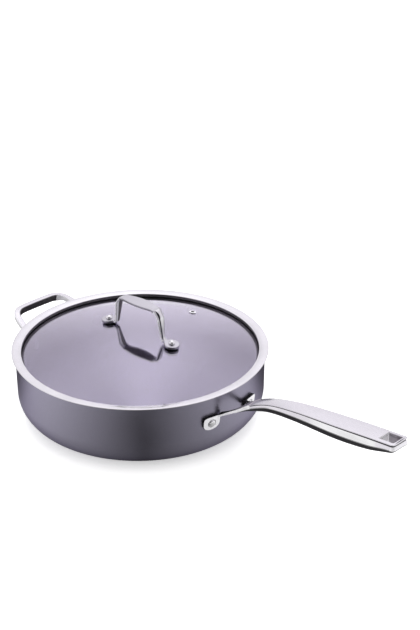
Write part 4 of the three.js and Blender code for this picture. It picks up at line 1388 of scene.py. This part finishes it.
# Dark card: its ring, its turn and spread in front, its start and end behind, and its soft edges
FLAG_INNER = 0.09
FLAG_REACH = 0.62
FLAG_FADE = FLAG_REACH * 0.6
FLAG_STEPS = 48
FLAG_HEIGHT = 0.0004
FLAG_SPREAD = radians(80.0)
FLAG_DARK = 0.97
FLAG_TURN = radians(4.0)
FLAG_BACK_START = radians(86.0)
FLAG_BACK_END = radians(108.0)
FLAG_RING = 0.125
FLAG_RING_END = FLAG_RING + 0.03
FLAG_RING_DARK = FLAG_DARK * 0.5
# Distances between which the card gains its full dark, and the share of it at the first
FLAG_NEAR = (0.14, 0.22, 0.88)
LAMP_RISE = radians(70.0)
LAMP_DISTANCE = 2.0
LAMP_SIZE = 2.2
LAMP_POWER = 22


def behind_pan(rise):
    """Direction from the pan away from the camera, at an angle over the floor."""
    return VIEW_BACK * cos(rise) + Vector((0, 0, sin(rise)))


def make_camera():
    data = bpy.data.cameras.new("camera")
    data.lens = VIEW_LENS
    camera = add_object("camera", data)
    camera.location = VIEW_FROM
    camera.rotation_euler = VIEW_ALONG.to_track_quat("-Z", "Y").to_euler()
    bpy.context.scene.camera = camera


def make_floor():
    """A pale floor, lifted towards white for the camera and with a glow of its own in reflections."""
    signs = ((-1, -1), (1, -1), (1, 1), (-1, 1))
    corners = [Vector((x, y, 0)) for x, y in signs]
    floor = make_mesh("floor", (corners, [(0, 1, 2, 3)]), FLOOR_HALF)
    material = bpy.data.materials.new("pale_floor")
    tree = Tree(material)
    shader = tree.nodes["Principled BSDF"]
    tree.feed(shader, {"Base Color": FLOOR_COLOUR, "Roughness": FLOOR_ROUGHNESS, "Specular IOR Level": 0.0})
    path, mirrored = tree.mirrored()
    lift = tree.add("Emission", {"Strength": tree.maths("MULTIPLY", path["Is Camera Ray"], FLOOR_LIFT)})
    seen = tree.add("AddShader", (shader.outputs["BSDF"], lift.outputs["Emission"]))
    tree.show(tree.maths("MULTIPLY", mirrored, FLOOR_GLOW), seen, tree.add("Emission", {"Strength": 1.0}))
    floor.data.materials.append(material)


def make_world():
    """White to the camera, a plain level of light, and in reflections brightest behind the pan."""
    world = bpy.data.worlds.new("studio")
    bpy.context.scene.world = world
    tree = Tree(world)
    way = tree.add("TexCoord").outputs["Generated"]

    def toward(direction):
        return tree.vector("DOT_PRODUCT", way, direction)

    back = Vector((VIEW_ALONG.x, VIEW_ALONG.y, BACK_RISE)).normalized()
    share = tree.span(toward(back), -1.0, 1.0, 0.0, 1.0)
    stops = [(place, [channel * level for channel in GLOW_TINT]) for place, level in WORLD_GLOW]
    glow = tree.colours(share, stops, "EASE")
    level_way = tree.vector("NORMALIZE", tree.vector("MULTIPLY", way, LEVEL))
    angle = tree.maths("ARCCOSINE", tree.vector("DOT_PRODUCT", level_way, VIEW_BACK))
    stops = [(place, (left, left, left)) for place, left in SIDE_GLOW]
    sides = tree.colours(tree.maths("DIVIDE", angle, pi), stops, "EASE")
    high = toward(behind_pan(OVERHEAD_RISE))
    overhead = tree.span(high, OVERHEAD_OUTER, OVERHEAD_INNER, 0.0, OVERHEAD_LEVEL, "SMOOTHSTEP")
    added = tree.vector("ADD", tree.vector("MULTIPLY", glow, sides), overhead)
    room = toward(-VIEW_ALONG.normalized())
    left = tree.span(room, ROOM_OUTER, ROOM_INNER, 1.0, 1 - ROOM_DARK, "SMOOTHSTEP")
    path, mirrored = tree.mirrored()
    plain = tree.span(path["Is Camera Ray"], 0.0, 1.0, WORLD_LIGHT, 1.0)
    mix = tree.add("MixRGB", (mirrored, plain, tree.vector("MULTIPLY", added, left)))
    tree.feed(tree.nodes["Background"], {"Color": mix.outputs["Color"]})


def make_flag():
    """A soft dark card on the floor, which only reflections see: it shades the middle of the wall."""
    count = FLAG_STEPS
    turns = [2 * pi * k / count for k in range(count)]
    ring = [Vector((cos(a), sin(a), 0)) for a in turns]
    lift = Vector((0, 0, FLAG_HEIGHT))
    points = [p * radius + lift for radius in (FLAG_INNER, FLAG_REACH) for p in ring]
    faces = [(k, count + k, count + (k + 1) % count, (k + 1) % count) for k in range(count)]
    flag = make_mesh("front_flag", (points, faces), 1.0)
    for ray in ("visible_camera", "visible_diffuse", "visible_shadow", "visible_transmission"):
        setattr(flag, ray, False)
    material = bpy.data.materials.new("flag")
    tree = Tree(material)
    tree.nodes.remove(tree.nodes["Principled BSDF"])
    place = tree.add("TexCoord").outputs["Object"]
    length = tree.vector("LENGTH", place)
    unit = tree.vector("NORMALIZE", place)

    def angle_from(way):
        """Angle round the pan between a place and a level direction."""
        return tree.maths("ARCCOSINE", tree.vector("DOT_PRODUCT", unit, way))

    turned = Matrix.Rotation(FLAG_TURN, 3, "Z") @ -VIEW_BACK
    sector = tree.span(angle_from(turned), 0.0, FLAG_SPREAD, FLAG_DARK, 0.0)
    behind = tree.span(angle_from(-VIEW_BACK), FLAG_BACK_START, FLAG_BACK_END, 0.0, FLAG_DARK)
    edge = tree.span(length, FLAG_FADE, FLAG_REACH, 1.0, 0.0)
    close = tree.span(length, FLAG_RING, FLAG_RING_END, FLAG_RING_DARK, 0.0)
    near = tree.span(length, *FLAG_NEAR, 1.0)
    reach = tree.maths("MULTIPLY", edge, near)
    wide = tree.maths("MULTIPLY", tree.maths("MAXIMUM", sector, behind), reach)
    dark = tree.add("Emission", {"Strength": 0.0})
    tree.show(tree.maths("MAXIMUM", wide, close), tree.add("BsdfTransparent"), dark)
    flag.data.materials.append(material)


def make_lamp():
    """A wide lamp above and behind the pan, which reflections don't see."""
    data = bpy.data.lights.new("top_light", "AREA")
    data.shape = "RECTANGLE"
    data.size = LAMP_SIZE
    data.size_y = LAMP_SIZE
    data.energy = LAMP_POWER
    lamp = add_object("top_light", data)
    way = behind_pan(LAMP_RISE)
    lamp.location = way * LAMP_DISTANCE
    lamp.rotation_euler = (-way).to_track_quat("-Z", "Y").to_euler()
    lamp.visible_glossy = False
    lamp.visible_transmission = False


make_camera()
make_floor()
make_world()
make_flag()
make_lamp()

bpy.context.scene.view_settings.view_transform = "Standard"
